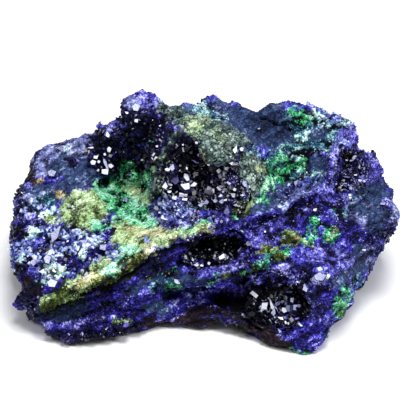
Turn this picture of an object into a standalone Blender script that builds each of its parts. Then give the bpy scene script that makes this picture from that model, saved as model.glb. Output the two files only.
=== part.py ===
"""Azurite and malachite specimen, about 78 mm across: a broken lump of vein with ledges, a boss and vugs.

Everything is laid out in millimetres and scaled to metres at the end. +X is to the right of the display side,
+Y goes to the back, +Z is up, and the flat underside lies at Z = 0. The display side faces -Y and leans back.
"""

import math
import random

import bmesh
import bpy
from mathutils import Euler, Matrix, Vector, noise
from mathutils.bvhtree import BVHTree

# ---- driving dimensions, mm ------------------------------------------------------------------------------
METRES = 0.001           # one millimetre
VIEW_RISE = 30.0         # degrees: the display side is seen from this far above the horizon
VIEW_DISTANCE = 666.7    # from the eye to the middle of the specimen
VIEW_MIDDLE = Vector((-0.8, 5.3, 18.5))
MIDDLE_UP = 31.2         # height of that middle on the display side, measured from its lowest point
VIEW_REACH = 60          # a cutter along the lines of sight that passes right through goes this far each way

VOXEL = 0.9              # grain of the first solid
FINE_VOXEL = 0.8         # grain after the outline is cut
MASS_TRIANGLES = 3800    # of the main mass before its vugs are cut and its crystals added
SWELL_SIZE = 13          # size and height of the broad swells on every face
SWELL_RELIEF = 0.8
LUMP_SIZE = 5.5          # size and height of the lumps
LUMP_RELIEF = 1.5
BED_NORMAL = Vector((-0.40, 0.12, 1.0)).normalized()
BED_SPACING = 4.2        # between the small steps that the layers of the vein leave, and their height
BED_RELIEF = 1.1
PIT_SIZE = 4.2           # size and depth of the unevenness of a vug's wall
PIT_RELIEF = 1.3
GAP = 0.35               # between a vug's wall and its crystal crust
CRUST_SHIFT = 0.13       # the hollow inside a crust: moved to the mouth by this share of the vug's half size,
CRUST_SCALE = 0.89       # and this much smaller than the vug
CRUST_CRYSTAL = 0.27     # a crust's crystal, as a share of the vug's smallest half size
BACK_CRYSTALS = 12       # crystals on the back, and their size
BACK_CRYSTAL_SIZE = 1.9
BARE_FOOT = 2.5          # no crystal stands lower than this
FLAT_WITHIN = 2.0        # degrees: faces this near to one plane are joined
SEED = 7

# ---- sections across the specimen, each (y, z) in this order ----------------------------------------------
# foot, slab edge, recess, second ledge, under the ledge, ledge edge, shelf, middle shelf, wall foot, wall,
# top front, top back, back, back foot
SECTIONS = {
    -38.4: ((-5, 3), (-9, 5), (-10.5, 7), (-11, 9), (-10.5, 10.5), (-9.5, 11.8), (-6, 13), (0, 14.8),
            (5, 16.5), (8, 17.5), (12, 18), (16, 16), (19, 9), (15, 3)),
    -36.0: ((-11, -2), (-13, 3.2), (-12.5, 6), (-12.5, 8), (-12.2, 10), (-11, 11.8), (-6, 13.5), (-1, 15),
            (5, 16.8), (10, 19.5), (17, 23), (21, 22), (24, 12), (22, -2)),
    -29.0: ((-23, -3), (-21.5, 2.2), (-18.5, 5), (-18, 6.5), (-17.5, 7.5), (-16.5, 10.5), (-11, 14.1),
            (-3, 15.2), (7, 16), (11, 19.5), (19, 24.5), (22.5, 24), (25.5, 12), (25, -2)),
    -21.0: ((-22.5, -3), (-20.5, 2.2), (-17, 5), (-16.5, 6.5), (-16.8, 9), (-16.2, 12.5), (-6, 16.8),
            (0, 16.5), (8, 18), (13, 22.5), (17, 28), (21, 27.5), (26, 14), (26, -2)),
    -13.4: ((-18.5, -3), (-18, 2.2), (-15, 6), (-15, 10.6), (-14, 13), (-12, 17), (-7, 17.6), (1, 17.4),
            (10, 17.5), (13.5, 26), (15, 36), (18, 35.5), (26, 18), (26, -2)),
    -5.0: ((-11, -2), (-12.7, 2.2), (-10, 5), (-13.5, 10.8), (-12.5, 13.5), (-12, 19.5), (-7, 20.5), (-1, 23),
           (4, 27), (9, 31), (13, 34.5), (17, 33.5), (26, 17), (26, -2)),
    0.6: ((-12.2, -2), (-13, 2.2), (-10, 4.8), (-14, 10.5), (-12, 13), (-11.5, 21.5), (-7, 22.5), (-1, 23.5),
          (4, 26), (8, 30), (12, 33), (17, 32.5), (26, 17), (26, -2)),
    12.2: ((-17.7, -2), (-18, 2), (-15.5, 5), (-15.2, 14), (-13.5, 17), (-10, 19.5), (-4, 21.2), (3, 22.2),
           (10, 23), (13.5, 28), (17, 33.3), (20, 32), (27, 17), (27, -2)),
    18.0: ((-23.5, -3), (-23, 2.3), (-19.5, 5.5), (-18, 14.5), (-14, 17.5), (-8, 20.5), (-3, 21.3), (2, 22.7),
           (8, 24), (12, 28.5), (17, 34.5), (21, 33), (27, 17), (27, -2)),
    23.2: ((-26.2, -3), (-25.8, 2.5), (-23.2, 7.4), (-21.2, 13), (-17, 16), (-8, 19), (-3.5, 21.5), (1, 23.3),
           (6, 25), (11, 27.5), (17.5, 32.3), (21.5, 32), (26.5, 15), (26.5, -2)),
    28.0: ((-10, -2), (-11.5, 2.5), (-14, 7), (-15, 12), (-12, 15.5), (-5.5, 19.5), (-2, 22), (2, 24.2),
           (6, 25.5), (11, 28), (17, 31), (20.5, 30), (25, 14), (25, -2)),
    32.2: ((8, -2), (1, 3.5), (-4, 6.8), (-6.8, 9), (-7, 13), (-5, 18.7), (-1, 21.3), (2.5, 23.3),
           (6, 25.3), (9, 27), (12, 28), (16, 26.5), (22, 13), (21, -2)),
    36.2: ((15, -2), (10, 3), (3, 7.5), (-1, 11), (-2, 14.7), (0, 17.5), (2.5, 19.3), (5, 19.8),
           (7, 19.9), (9, 19.5), (12, 19), (15, 17), (18, 9), (17, -2)),
    38.6: ((8, 7), (6, 8), (4, 9.5), (3, 11.5), (2.5, 13.5), (3, 16), (4.5, 17), (6, 17.2),
           (7, 17.2), (8.5, 16.5), (10, 15.5), (11.5, 13.5), (12, 10), (10.5, 7.5)),
}
CRISP = {1: 0.5, 3: 0.5, 5: 0.8, 10: 0.5}      # place in a section: how crisp the edge along it stays

# ---- lumps that stand out of the sections: (name, form, centre, half sizes, turn in degrees) ---------------
LUMPS = (
    ("boss", "ball", (0.6, 4, 25), (12.0, 11.5, 12.0), (0, 0, 0)),
    ("boss_cap", "ball", (3, 5, 31), (11.5, 9, 4.6), (-18, 22, 0)),
    ("boss_right_crust", "ball", (9, -1, 24.5), (4.5, 6, 6.5), (0, 0, 0)),
    ("peak", "ball", (-12.6, 15.5, 32.5), (5, 4.5, 5.5), (0, 18, 0)),
    ("peak_ridge", "ball", (-4, 14, 31.5), (8, 5, 4.5), (0, 10, 0)),
    ("left_front_lobe", "ball", (-28, -9, 9.5), (10, 8.5, 6), (0, -6, 8)),
    ("left_mound", "ball", (-19, -7.5, 11.8), (6.5, 5.5, 5.5), (0, -12, 20)),
    ("olive_dome", "ball", (-24, 6, 14.5), (4.6, 4.6, 4.4), (0, 0, 0)),
    ("left_block", "block", (-34.5, 4, 11), (3.4, 5, 6.5), (6, 10, 20)),
    ("left_low_block", "block", (-34.5, -8, 5.2), (2.8, 4, 3.0), (0, 14, -12)),
    ("back_left_knob", "ball", (-31, 17, 18), (5, 5, 6), (0, 0, 0)),
    ("back_slate", "block", (9, 18, 24), (10, 4.5, 9.5), (-14, 10, -6)),
    ("upper_right_lobe", "ball", (22, 17, 25), (8.5, 6.5, 6), (0, 8, 0)),
    ("right_shoulder", "block", (34.5, 3, 16), (3.6, 6, 4.5), (0, 12, -18)),
    ("right_knob", "ball", (36, 3, 12), (3.2, 5, 4.2), (0, 0, 0)),
    ("olive_dome_right", "ball", (18.5, -10, 17), (3.4, 3.4, 3.2), (0, 0, 0)),
    ("right_front_cheek", "ball", (22, -14, 11), (7, 7, 6.5), (0, 0, 0)),
)

# ---- ridges along the ledges' edges: (name, radius, points) -----------------------------------------------
RIDGES = (
    ("seam", 2.1, ((-33, -16.5, 6.8), (-28, -17, 8.8), (-21, -16.6, 12), (-16, -14.5, 14.8), (-10, -12.5, 18),
                   (-4, -11.8, 20), (2, -11.5, 21.6))),
    ("rim", 1.6, ((2, -10.8, 21.5), (10, -7.8, 21.6), (19, -2.8, 23), (24.5, 1, 24.4), (26.5, 5, 26.6),
                  (27.5, 9, 29))),
    ("second_ledge", 1.9, ((-12, -14.6, 10), (-3, -13.6, 11.2), (6, -14.2, 13), (12, -14.5, 15.5),
                           (18, -14.5, 17))),
    ("foot_edge", 1.6, ((-8, -12.5, 2.2), (2, -13.2, 2.4), (12, -18.2, 2.2), (20.5, -23.4, 1.8))),
)

# ---- hollows in the display side that have no crystals of their own: (centre, half sizes, turn) ------------
NOTCHES = (
    ("cave", (-15.5, 10.5, 20.5), (6.5, 4.5, 5.0), (0, 0, 0)),
    ("slot", (-1, -14.5, 6.6), (11, 6.5, 2.5), (0, -4, 6)),
    ("left_cleft", (-37, -2, 9.5), (3.4, 2.2, 6), (0, 0, 0)),
    ("pit", (-26.4, 15.5, 21.5), (1.6, 2.4, 1.8), (0, 0, 0)),
)

# ---- vugs lined with crystals: (name, centre, half sizes, turn, towards the mouth, crystals) ---------------
VUGS = (
    ("boss_vug_crystals", (-0.6, -5.2, 27.6), (10.4, 8.4, 8.4), (24, 12, -4), (0, -0.8, 0.35), 20),
    ("ledge_vug_crystals", (2.2, -11.0, 16.5), (7.6, 7.4, 3.9), (0, -9, 0), (0, -1, 0.1), 12),
    ("lower_vug_crystals", (13.8, -16.5, 8.6), (8.4, 8, 6.0), (0, -12, 8), (0, -1, 0.3), 16),
    ("corner_pocket_crystals", (29.8, 4.9, 25.2), (5.2, 5.6, 5.4), (20, 20, 0), (0.2, -0.8, 0.5), 10),
)

# ---- groups of flat-faced crystals on the mass, where they show: across, up, half widths, number, size ----
CLUSTERS = (
    ("left_edge", (-35.8, 20.0), (2.2, 13.5), 15, 1.9),
    ("left_front", (-28.0, 19.5), (8.5, 5.0), 18, 1.7),
    ("cave_wall_left", (-20.5, 38.0), (2.6, 2.2), 7, 1.5),
    ("cave_wall", (-14.5, 41.0), (5.5, 5.5), 15, 1.5),
    ("peak", (-12.4, 49.0), (3.6, 2.2), 5, 1.5),
    ("front_left", (-20.0, 8.5), (8.0, 3.6), 7, 1.7),
    ("corner", (31.0, 36.5), (3.0, 5.0), 5, 1.5),
    ("right_edge", (35.0, 24.5), (2.2, 5.0), 7, 1.8),
    ("right_front", (23.6, 15.2), (2.0, 1.6), 4, 1.4),
    ("lower_vug_lip", (13.0, 9.0), (3.5, 2.0), 4, 1.5),
)

# ---- the outline of the display side as it is seen: across, up --------------------------------------------
OUTLINE = (
    (-16.4, 50.6), (-15.4, 52.0), (-12.8, 52.6), (-10.8, 51.8), (-8.6, 50.8), (-3.6, 49.4), (-0.8, 50.2),
    (2.4, 51.2), (3.8, 50.4), (7.2, 49.8), (9.6, 48.6), (11.6, 47.4), (10.8, 48.8), (13.6, 50.6),
    (15.2, 50.0), (19.2, 50.0), (25.2, 48.2), (29.6, 46.0), (31.2, 43.4), (29.6, 42.2), (33.2, 39.6),
    (34.4, 38.2), (34.4, 36.4), (37.4, 33.0), (36.8, 30.2), (38.8, 28.2), (38.0, 25.6), (34.8, 20.6),
    (33.2, 17.6), (31.4, 15.2), (29.2, 11.8), (27.8, 9.2), (28.0, 7.8), (26.4, 7.4), (25.2, 5.8),
    (25.0, 4.2), (23.2, 2.2), (21.2, 0.2), (19.2, 0.2), (15.2, 2.4), (11.6, 3.6), (7.2, 5.0), (4.2, 6.4),
    (-2.8, 6.2), (-6.8, 7.2), (-12.8, 4.8), (-16.4, 5.0), (-19.2, 3.2), (-28.4, 2.4), (-31.2, 3.4),
    (-30.8, 5.2), (-34.8, 7.2), (-34.8, 9.8), (-37.0, 10.8), (-37.2, 12.8), (-35.4, 14.4), (-38.6, 17.2),
    (-38.4, 18.8), (-36.8, 21.8), (-38.0, 23.6), (-38.2, 25.2), (-36.4, 27.2), (-37.6, 31.8),
    (-35.0, 35.2), (-34.8, 39.2), (-33.4, 40.4), (-31.4, 40.6), (-30.8, 42.4), (-27.8, 43.2),
    (-19.4, 45.4), (-16.0, 47.2),
)

# ---- the crack across the slate plates at the back, as it is seen, and how deep it goes --------------------
CRACK = ((10.2, 49.2), (12.0, 47.9), (15.5, 46.9), (19.6, 44.9), (15.2, 46.1), (11.0, 46.9))
CRACK_NEAR, CRACK_FAR = 8, -7

MATERIALS = {
    "azurite_mass": ((0.07, 0.06, 0.30), 0.6),
    "boss_vug_crystals": ((0.02, 0.02, 0.08), 0.15),
    "ledge_vug_crystals": ((0.02, 0.02, 0.07), 0.2),
    "lower_vug_crystals": ((0.03, 0.03, 0.10), 0.15),
    "corner_pocket_crystals": ((0.06, 0.04, 0.16), 0.25),
}


# ---- small tools -----------------------------------------------------------------------------------------
def clear_scene():
    for obj in list(bpy.data.objects):
        bpy.data.objects.remove(obj)


def collection(name):
    made = bpy.data.collections.new(name)
    bpy.context.scene.collection.children.link(made)
    return made


def add_object(name, mesh, into):
    obj = bpy.data.objects.new(name, mesh)
    into.objects.link(obj)
    return obj


def evaluated_mesh(obj):
    bpy.context.view_layer.update()
    graph = bpy.context.evaluated_depsgraph_get()
    return bpy.data.meshes.new_from_object(obj.evaluated_get(graph))


def apply_modifiers(obj):
    mesh = evaluated_mesh(obj)
    obj.modifiers.clear()
    obj.data = mesh


def boolean(obj, other, operation, own_overlaps=False):
    modifier = obj.modifiers.new(operation.title(), "BOOLEAN")
    modifier.operation = operation
    modifier.solver = "EXACT"
    modifier.object = other
    modifier.use_self = own_overlaps
    apply_modifiers(obj)


def placed(centre, half, turn):
    turned = Euler([math.radians(angle) for angle in turn]).to_matrix().to_4x4()
    return Matrix.Translation(centre) @ turned @ Matrix.Diagonal((*half, 1))


def mesh_of(shape, name):
    mesh = bpy.data.meshes.new(name)
    shape.to_mesh(mesh)
    shape.free()
    return mesh


def keep_largest_body(mesh):
    """Drops the loose scraps that cutting leaves beside the body itself."""
    shape = bmesh.new()
    shape.from_mesh(mesh)
    bodies = []
    unseen = set(shape.verts)
    while unseen:
        front = [unseen.pop()]
        body = set(front)
        while front:
            vert = front.pop()
            for edge in vert.link_edges:
                other = edge.other_vert(vert)
                if other in unseen:
                    unseen.discard(other)
                    body.add(other)
                    front.append(other)
        bodies.append(body)
    largest = max(bodies, key=len)
    scraps = [vert for body in bodies if body is not largest for vert in body]
    bmesh.ops.delete(shape, geom=scraps, context="VERTS")
    bend = math.radians(FLAT_WITHIN)
    bmesh.ops.dissolve_limit(shape, angle_limit=bend, verts=shape.verts, edges=shape.edges)
    bmesh.ops.triangulate(shape, faces=shape.faces)
    shape.to_mesh(mesh)
    shape.free()


# ---- the bulk --------------------------------------------------------------------------------------------
def body_cage(into):
    """The sections joined by a coarse cage, which Subdivision Surface rounds."""
    shape = bmesh.new()
    crease = shape.edges.layers.float.new("crease_edge")
    rings = [[shape.verts.new((x, *point)) for point in SECTIONS[x]] for x in sorted(SECTIONS)]
    count = len(rings[0])
    for left, right in zip(rings, rings[1:]):
        for i in range(count):
            j = (i + 1) % count
            shape.faces.new((left[i], right[i], right[j], left[j]))
    shape.faces.new(rings[0])
    shape.faces.new(rings[-1][::-1])
    for left, right in zip(rings, rings[1:]):
        for i, amount in CRISP.items():
            shape.edges.get((left[i], right[i]))[crease] = amount
    bmesh.ops.recalc_face_normals(shape, faces=shape.faces)
    cage = add_object("body_cage", mesh_of(shape, "body_cage"), into)
    rounding = cage.modifiers.new("Subdivision", "SUBSURF")
    rounding.levels = 2
    rounding.render_levels = 2
    return cage


def add_ball(shape, matrix, detail=3):
    bmesh.ops.create_icosphere(shape, subdivisions=detail, radius=1, matrix=matrix)


def add_block(shape, matrix, half):
    made = bmesh.ops.create_cube(shape, size=2, matrix=matrix)
    edges = {edge for vert in made["verts"] for edge in vert.link_edges}
    bmesh.ops.bevel(shape, geom=list(edges), offset=min(half) * 0.3, segments=1, affect="EDGES", profile=0.5)


def ridge_mesh(radius, points):
    curve = bpy.data.curves.new("ridge", "CURVE")
    curve.dimensions = "3D"
    curve.bevel_depth = radius
    curve.bevel_resolution = 2
    curve.resolution_u = 4
    curve.use_fill_caps = True
    spline = curve.splines.new("NURBS")
    spline.points.add(len(points) - 1)
    for point, place in zip(spline.points, points):
        point.co = (*place, 1)
    spline.use_endpoint_u = True
    holder = bpy.data.objects.new("ridge", curve)
    bpy.context.scene.collection.objects.link(holder)
    mesh = evaluated_mesh(holder)
    bpy.data.objects.remove(holder)
    return mesh


def bulk(into, guides):
    shape = bmesh.new()
    cage = body_cage(guides)
    shape.from_mesh(evaluated_mesh(cage))
    for _, form, centre, half, turn in LUMPS:
        matrix = placed(centre, half, turn)
        if form == "ball":
            add_ball(shape, matrix)
        else:
            add_block(shape, matrix, half)
    for _, radius, points in RIDGES:
        shape.from_mesh(ridge_mesh(radius, points))
    bmesh.ops.remove_doubles(shape, verts=shape.verts, dist=0.001)
    mass = add_object("azurite_mass", mesh_of(shape, "azurite_mass"), into)
    voxel_remesh(mass, VOXEL)
    return mass


def voxel_remesh(obj, size):
    modifier = obj.modifiers.new("Remesh", "REMESH")
    modifier.mode = "VOXEL"
    modifier.voxel_size = size
    apply_modifiers(obj)


# ---- the outline -----------------------------------------------------------------------------------------
def seen_at(across, up, out):
    """The point seen at that place on the display side, out millimetres nearer the eye than its middle."""
    rise = math.radians(VIEW_RISE)
    to_eye = Vector((0, -math.cos(rise), math.sin(rise)))
    upward = Vector((0, math.sin(rise), math.cos(rise)))
    shrink = (VIEW_DISTANCE - out) / VIEW_DISTANCE
    sideways = Vector((across - VIEW_MIDDLE.x, 0, 0))
    return VIEW_MIDDLE + (sideways + upward * (up - MIDDLE_UP)) * shrink + to_eye * out


def seen_prism(name, outline, near, far, into):
    """An outline of the display side, carried along the lines of sight from near to far of its middle."""
    shape = bmesh.new()
    front = [shape.verts.new(seen_at(across, up, near)) for across, up in outline]
    back = [shape.verts.new(seen_at(across, up, far)) for across, up in outline]
    shape.faces.new(front)
    shape.faces.new(back[::-1])
    for i in range(len(outline)):
        j = (i + 1) % len(outline)
        shape.faces.new((front[j], front[i], back[i], back[j]))
    bmesh.ops.recalc_face_normals(shape, faces=shape.faces)
    return add_object(name, mesh_of(shape, name), into)


# ---- the broken surface ----------------------------------------------------------------------------------
def relief(place):
    """How far the surface stands out at a place: lumps, and the ledges that the vein's layers leave."""
    distances, _ = noise.voronoi(place / LUMP_SIZE)
    lumps = (0.55 - distances[0]) * LUMP_RELIEF
    swell = noise.fractal(place / SWELL_SIZE, 1.0, 2.0, 2) * SWELL_RELIEF
    bed = place.dot(BED_NORMAL) / BED_SPACING + noise.noise(place / 9) * 0.9
    step = (bed - math.floor(bed)) ** 2 - 0.4
    strength = 0.5 + 0.5 * noise.noise(place / 15 + Vector((31, 7, 3)))
    return lumps + swell + step * BED_RELIEF * strength


def roughen(mesh):
    mesh.update()
    normals = [Vector(entry.vector) for entry in mesh.vertex_normals]
    for vert, normal in zip(mesh.vertices, normals):
        vert.co += normal * relief(vert.co.copy())


def smooth(obj, factor, times):
    modifier = obj.modifiers.new("Smooth", "SMOOTH")
    modifier.factor = factor
    modifier.iterations = times
    apply_modifiers(obj)


def thin_to(obj, triangles):
    modifier = obj.modifiers.new("Decimate", "DECIMATE")
    obj.data.calc_loop_triangles()
    modifier.ratio = triangles / len(obj.data.loop_triangles)
    modifier.use_collapse_triangulate = True
    apply_modifiers(obj)


def lumpy_ball(name, centre, half, turn, into, shrink=0.0):
    """A ball with a pitted wall; shrink takes that many millimetres off its wall."""
    shape = bmesh.new()
    add_ball(shape, placed(centre, half, turn), detail=2)
    shape.normal_update()
    moves = []
    for vert in shape.verts:
        wobble = noise.noise(vert.co / PIT_SIZE) * PIT_RELIEF
        moves.append(vert.normal * (wobble - shrink))
    for vert, move in zip(shape.verts, moves):
        vert.co += move
    return add_object(name, mesh_of(shape, name), into)


def flat_underside(into):
    shape = bmesh.new()
    bmesh.ops.create_cube(shape, size=2, matrix=placed((0, 0, -20), (80, 80, 20), (0, 0, 0)))
    return add_object("underside", mesh_of(shape, "underside"), into)


# ---- crystals --------------------------------------------------------------------------------------------
def add_crystal(shape, dice, root, normal, size):
    """A blocky azurite crystal: a tapered prism of four to six flat sides with a slanted top."""
    lean = Vector((dice.uniform(-1, 1), dice.uniform(-1, 1), dice.uniform(-1, 1))) * 0.45
    along = (normal + lean).normalized()
    sides = dice.choice((4, 5, 5, 6))
    length = size * dice.uniform(1.3, 2.0)
    turned = along.to_track_quat("Z", "Y").to_matrix().to_4x4()
    spin = Matrix.Rotation(dice.uniform(0, math.tau), 4, "Z")
    flatten = Matrix.Diagonal((1, dice.uniform(0.6, 0.95), 1, 1))
    middle_place = root + along * length * 0.1
    made = bmesh.ops.create_cone(shape, cap_ends=True, segments=sides, radius1=size,
                                 radius2=size * dice.uniform(0.5, 0.8), depth=length,
                                 matrix=Matrix.Translation(middle_place) @ turned @ spin @ flatten)
    slant = Vector((dice.uniform(-1, 1), dice.uniform(-1, 1), dice.uniform(-1, 1))).cross(along) * 0.35
    for vert in made["verts"]:
        offset = vert.co - middle_place
        if offset.dot(along) > 0:
            vert.co += along * offset.dot(slant)


def surface_of(obj):
    return BVHTree.FromObject(obj, bpy.context.evaluated_depsgraph_get())


def grow_crystals(mass, into):
    """The crystals that stand on the mass, joined to it."""
    dice = random.Random(SEED)
    surface = surface_of(mass)
    shape = bmesh.new()
    eye = seen_at(VIEW_MIDDLE.x, MIDDLE_UP, VIEW_DISTANCE)
    for _, (across, up), (wide, high), number, size in CLUSTERS:
        for _ in range(number):
            aim = seen_at(across + dice.uniform(-wide, wide), up + dice.uniform(-high, high), 0)
            hit, normal, _, _ = surface.ray_cast(eye, (aim - eye).normalized())
            if hit and hit.z > BARE_FOOT:
                add_crystal(shape, dice, hit, normal, size * dice.uniform(0.7, 1.15))
    for _ in range(BACK_CRYSTALS):
        start = Vector((dice.uniform(-30, 30), VIEW_REACH, dice.uniform(5, 26)))
        hit, normal, _, _ = surface.ray_cast(start, Vector((0, -1, 0)))
        if hit:
            add_crystal(shape, dice, hit, normal, BACK_CRYSTAL_SIZE * dice.uniform(0.7, 1.15))
    crystals = add_object("mass_crystals", mesh_of(shape, "mass_crystals"), into)
    boolean(mass, crystals, "UNION", own_overlaps=True)


def crust(vug, mass, into, guides):
    """The crystals that line a vug: what a hollow with crystals standing into it leaves of its filling."""
    name, centre, half, turn, mouth, number = vug
    dice = random.Random(name)
    outward = Vector(mouth).normalized()
    hollow_centre = Vector(centre) + outward * max(half) * CRUST_SHIFT
    hollow_half = [side * CRUST_SCALE for side in half]
    hollow = lumpy_ball(name + "_hollow", hollow_centre, hollow_half, turn, guides)
    wall = surface_of(hollow)
    shape = bmesh.new()
    planted = 0
    while planted < number:
        way = Vector((dice.gauss(0, 1), dice.gauss(0, 1), dice.gauss(0, 1))).normalized()
        hit, _, _, _ = wall.ray_cast(hollow_centre, way)
        if way.dot(outward) < 0.1 and hit:
            add_crystal(shape, dice, hit, -way, min(half) * CRUST_CRYSTAL * dice.uniform(0.7, 1.2))
            planted += 1
    crystals = add_object(name + "_points", mesh_of(shape, name), guides)
    boolean(hollow, crystals, "DIFFERENCE", own_overlaps=True)
    lining = lumpy_ball(name, centre, half, turn, into, shrink=GAP)
    boolean(lining, mass, "INTERSECT")
    boolean(lining, hollow, "DIFFERENCE")
    keep_largest_body(lining.data)
    return lining


def finish(obj):
    """Metres, its own material, and flat faces."""
    obj.data.transform(Matrix.Scale(METRES, 4))
    colour, roughness = MATERIALS[obj.name]
    material = bpy.data.materials.new(obj.name)
    material.use_nodes = True
    shader = material.node_tree.nodes["Principled BSDF"]
    shader.inputs["Base Color"].default_value = (*colour, 1)
    shader.inputs["Roughness"].default_value = roughness
    obj.data.materials.clear()
    obj.data.materials.append(material)
    obj.data.shade_flat()


def main():
    clear_scene()
    parts = collection("azurite_specimen")
    guides = collection("cutters")
    mass = bulk(parts, guides)
    boolean(mass, seen_prism("outline", OUTLINE, VIEW_REACH, -VIEW_REACH, guides), "INTERSECT")
    for name, centre, half, turn in NOTCHES:
        boolean(mass, lumpy_ball(name, centre, half, turn, guides), "DIFFERENCE")
    voxel_remesh(mass, FINE_VOXEL)
    smooth(mass, 0.5, 3)
    roughen(mass.data)
    thin_to(mass, MASS_TRIANGLES)
    underside = flat_underside(guides)
    boolean(mass, underside, "DIFFERENCE")
    crusts = [crust(vug, mass, parts, guides) for vug in VUGS]
    grow_crystals(mass, guides)
    boolean(mass, underside, "DIFFERENCE")
    for name, centre, half, turn, _, _ in VUGS:
        boolean(mass, lumpy_ball(name + "_cut", centre, half, turn, guides), "DIFFERENCE")
    boolean(mass, seen_prism("crack", CRACK, CRACK_NEAR, CRACK_FAR, guides), "DIFFERENCE")
    keep_largest_body(mass.data)
    for obj in (mass, *crusts):
        finish(obj)
    for guide in guides.objects:
        guide.hide_render = True
        guide.display_type = "WIRE"


main()
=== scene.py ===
"""Looks of the azurite and malachite specimen: its skin, crystals and crusts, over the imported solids.

Sizes are in millimetres unless a name says otherwise. A place on the display side is given as (across, up):
where someone sees it who looks at that side from 30 degrees above the horizon.
"""

import math

import bmesh
import bpy
import numpy as np
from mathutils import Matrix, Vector
from mathutils.bvhtree import BVHTree


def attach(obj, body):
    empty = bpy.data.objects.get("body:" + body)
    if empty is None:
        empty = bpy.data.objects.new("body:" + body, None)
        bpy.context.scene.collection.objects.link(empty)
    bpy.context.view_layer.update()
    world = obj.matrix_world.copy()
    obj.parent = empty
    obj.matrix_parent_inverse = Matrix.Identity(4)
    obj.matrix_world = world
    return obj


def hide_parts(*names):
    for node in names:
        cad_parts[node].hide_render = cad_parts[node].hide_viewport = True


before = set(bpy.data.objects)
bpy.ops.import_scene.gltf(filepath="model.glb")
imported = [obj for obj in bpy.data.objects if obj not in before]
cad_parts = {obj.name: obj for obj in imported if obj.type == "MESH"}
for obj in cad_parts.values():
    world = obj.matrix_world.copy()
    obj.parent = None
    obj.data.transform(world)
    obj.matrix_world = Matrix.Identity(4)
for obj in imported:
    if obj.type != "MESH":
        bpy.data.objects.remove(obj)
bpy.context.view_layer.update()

# ---- driving dimensions ----------------------------------------------------------------------------------
MM = 0.001
VIEW_RISE = math.radians(30)
VIEW_DISTANCE = 666.7
VIEW_MIDDLE = np.array((-0.8, 5.3, 18.5))
MIDDLE_UP = 31.2         # how far up that middle shows on the display side
LENS = 300
SENSOR = 36
TO_EYE = np.array((0, -math.cos(VIEW_RISE), math.sin(VIEW_RISE)))
UPWARD = np.array((0, math.sin(VIEW_RISE), math.cos(VIEW_RISE)))
SIDEWAYS = np.array((1.0, 0, 0))
EYE = VIEW_MIDDLE + TO_EYE * VIEW_DISTANCE

SKIN_VOXEL = 0.43
CRUST_VOXEL = 0.33
SOFTENING = 0.5
BED = np.array((-0.40, 0.12, 1.0)) / np.linalg.norm((-0.40, 0.12, 1.0))    # square to the vein's layers
FLAT_FOOT = 0.15         # the skin is flat up to here
ROUGH_FROM = 1.2         # and in full relief from here on

# the layers that show on the back, and the fields that they are broken into
LAYER_THICK = 6.5
LAYER_PROUD = 1.3
LAYER_SUNK = 0.6
LAYERS_FROM = 4.0        # below this they fade out
FIELD_WIDE = 8.0
FIELD_PROUD = 1.2

# how crystals stand on the mass
BARE_FOOT = 1.2          # nothing grows lower than this
UNDERSIDE_TO = 4.0       # nor on faces below this that look down
MINGLE = 0.4             # how far crystals of one kind stray into the next
LEAN = 0.35              # how far crystals lean off the surface, times the lean of their kind
SMALL_BIAS = 1.6         # above 1, small crystals outnumber large ones
FLATNESS = (0.5, 1.0)    # how thick a crystal is against its width
# painted light and shade: crystals on the ledges' edges are paler, those in the recesses below darker
EDGE_LIGHT_AND_SHADE = 0.22         # how much paler crystals are on the ledges' edges
RIM_GAP = 0.12           # crystals of the mass stay this far from the crusts of the vugs
LUMP_SHOWN = 0.78        # the share of a lump's own height that stands out of its root
SEED = 11

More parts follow.
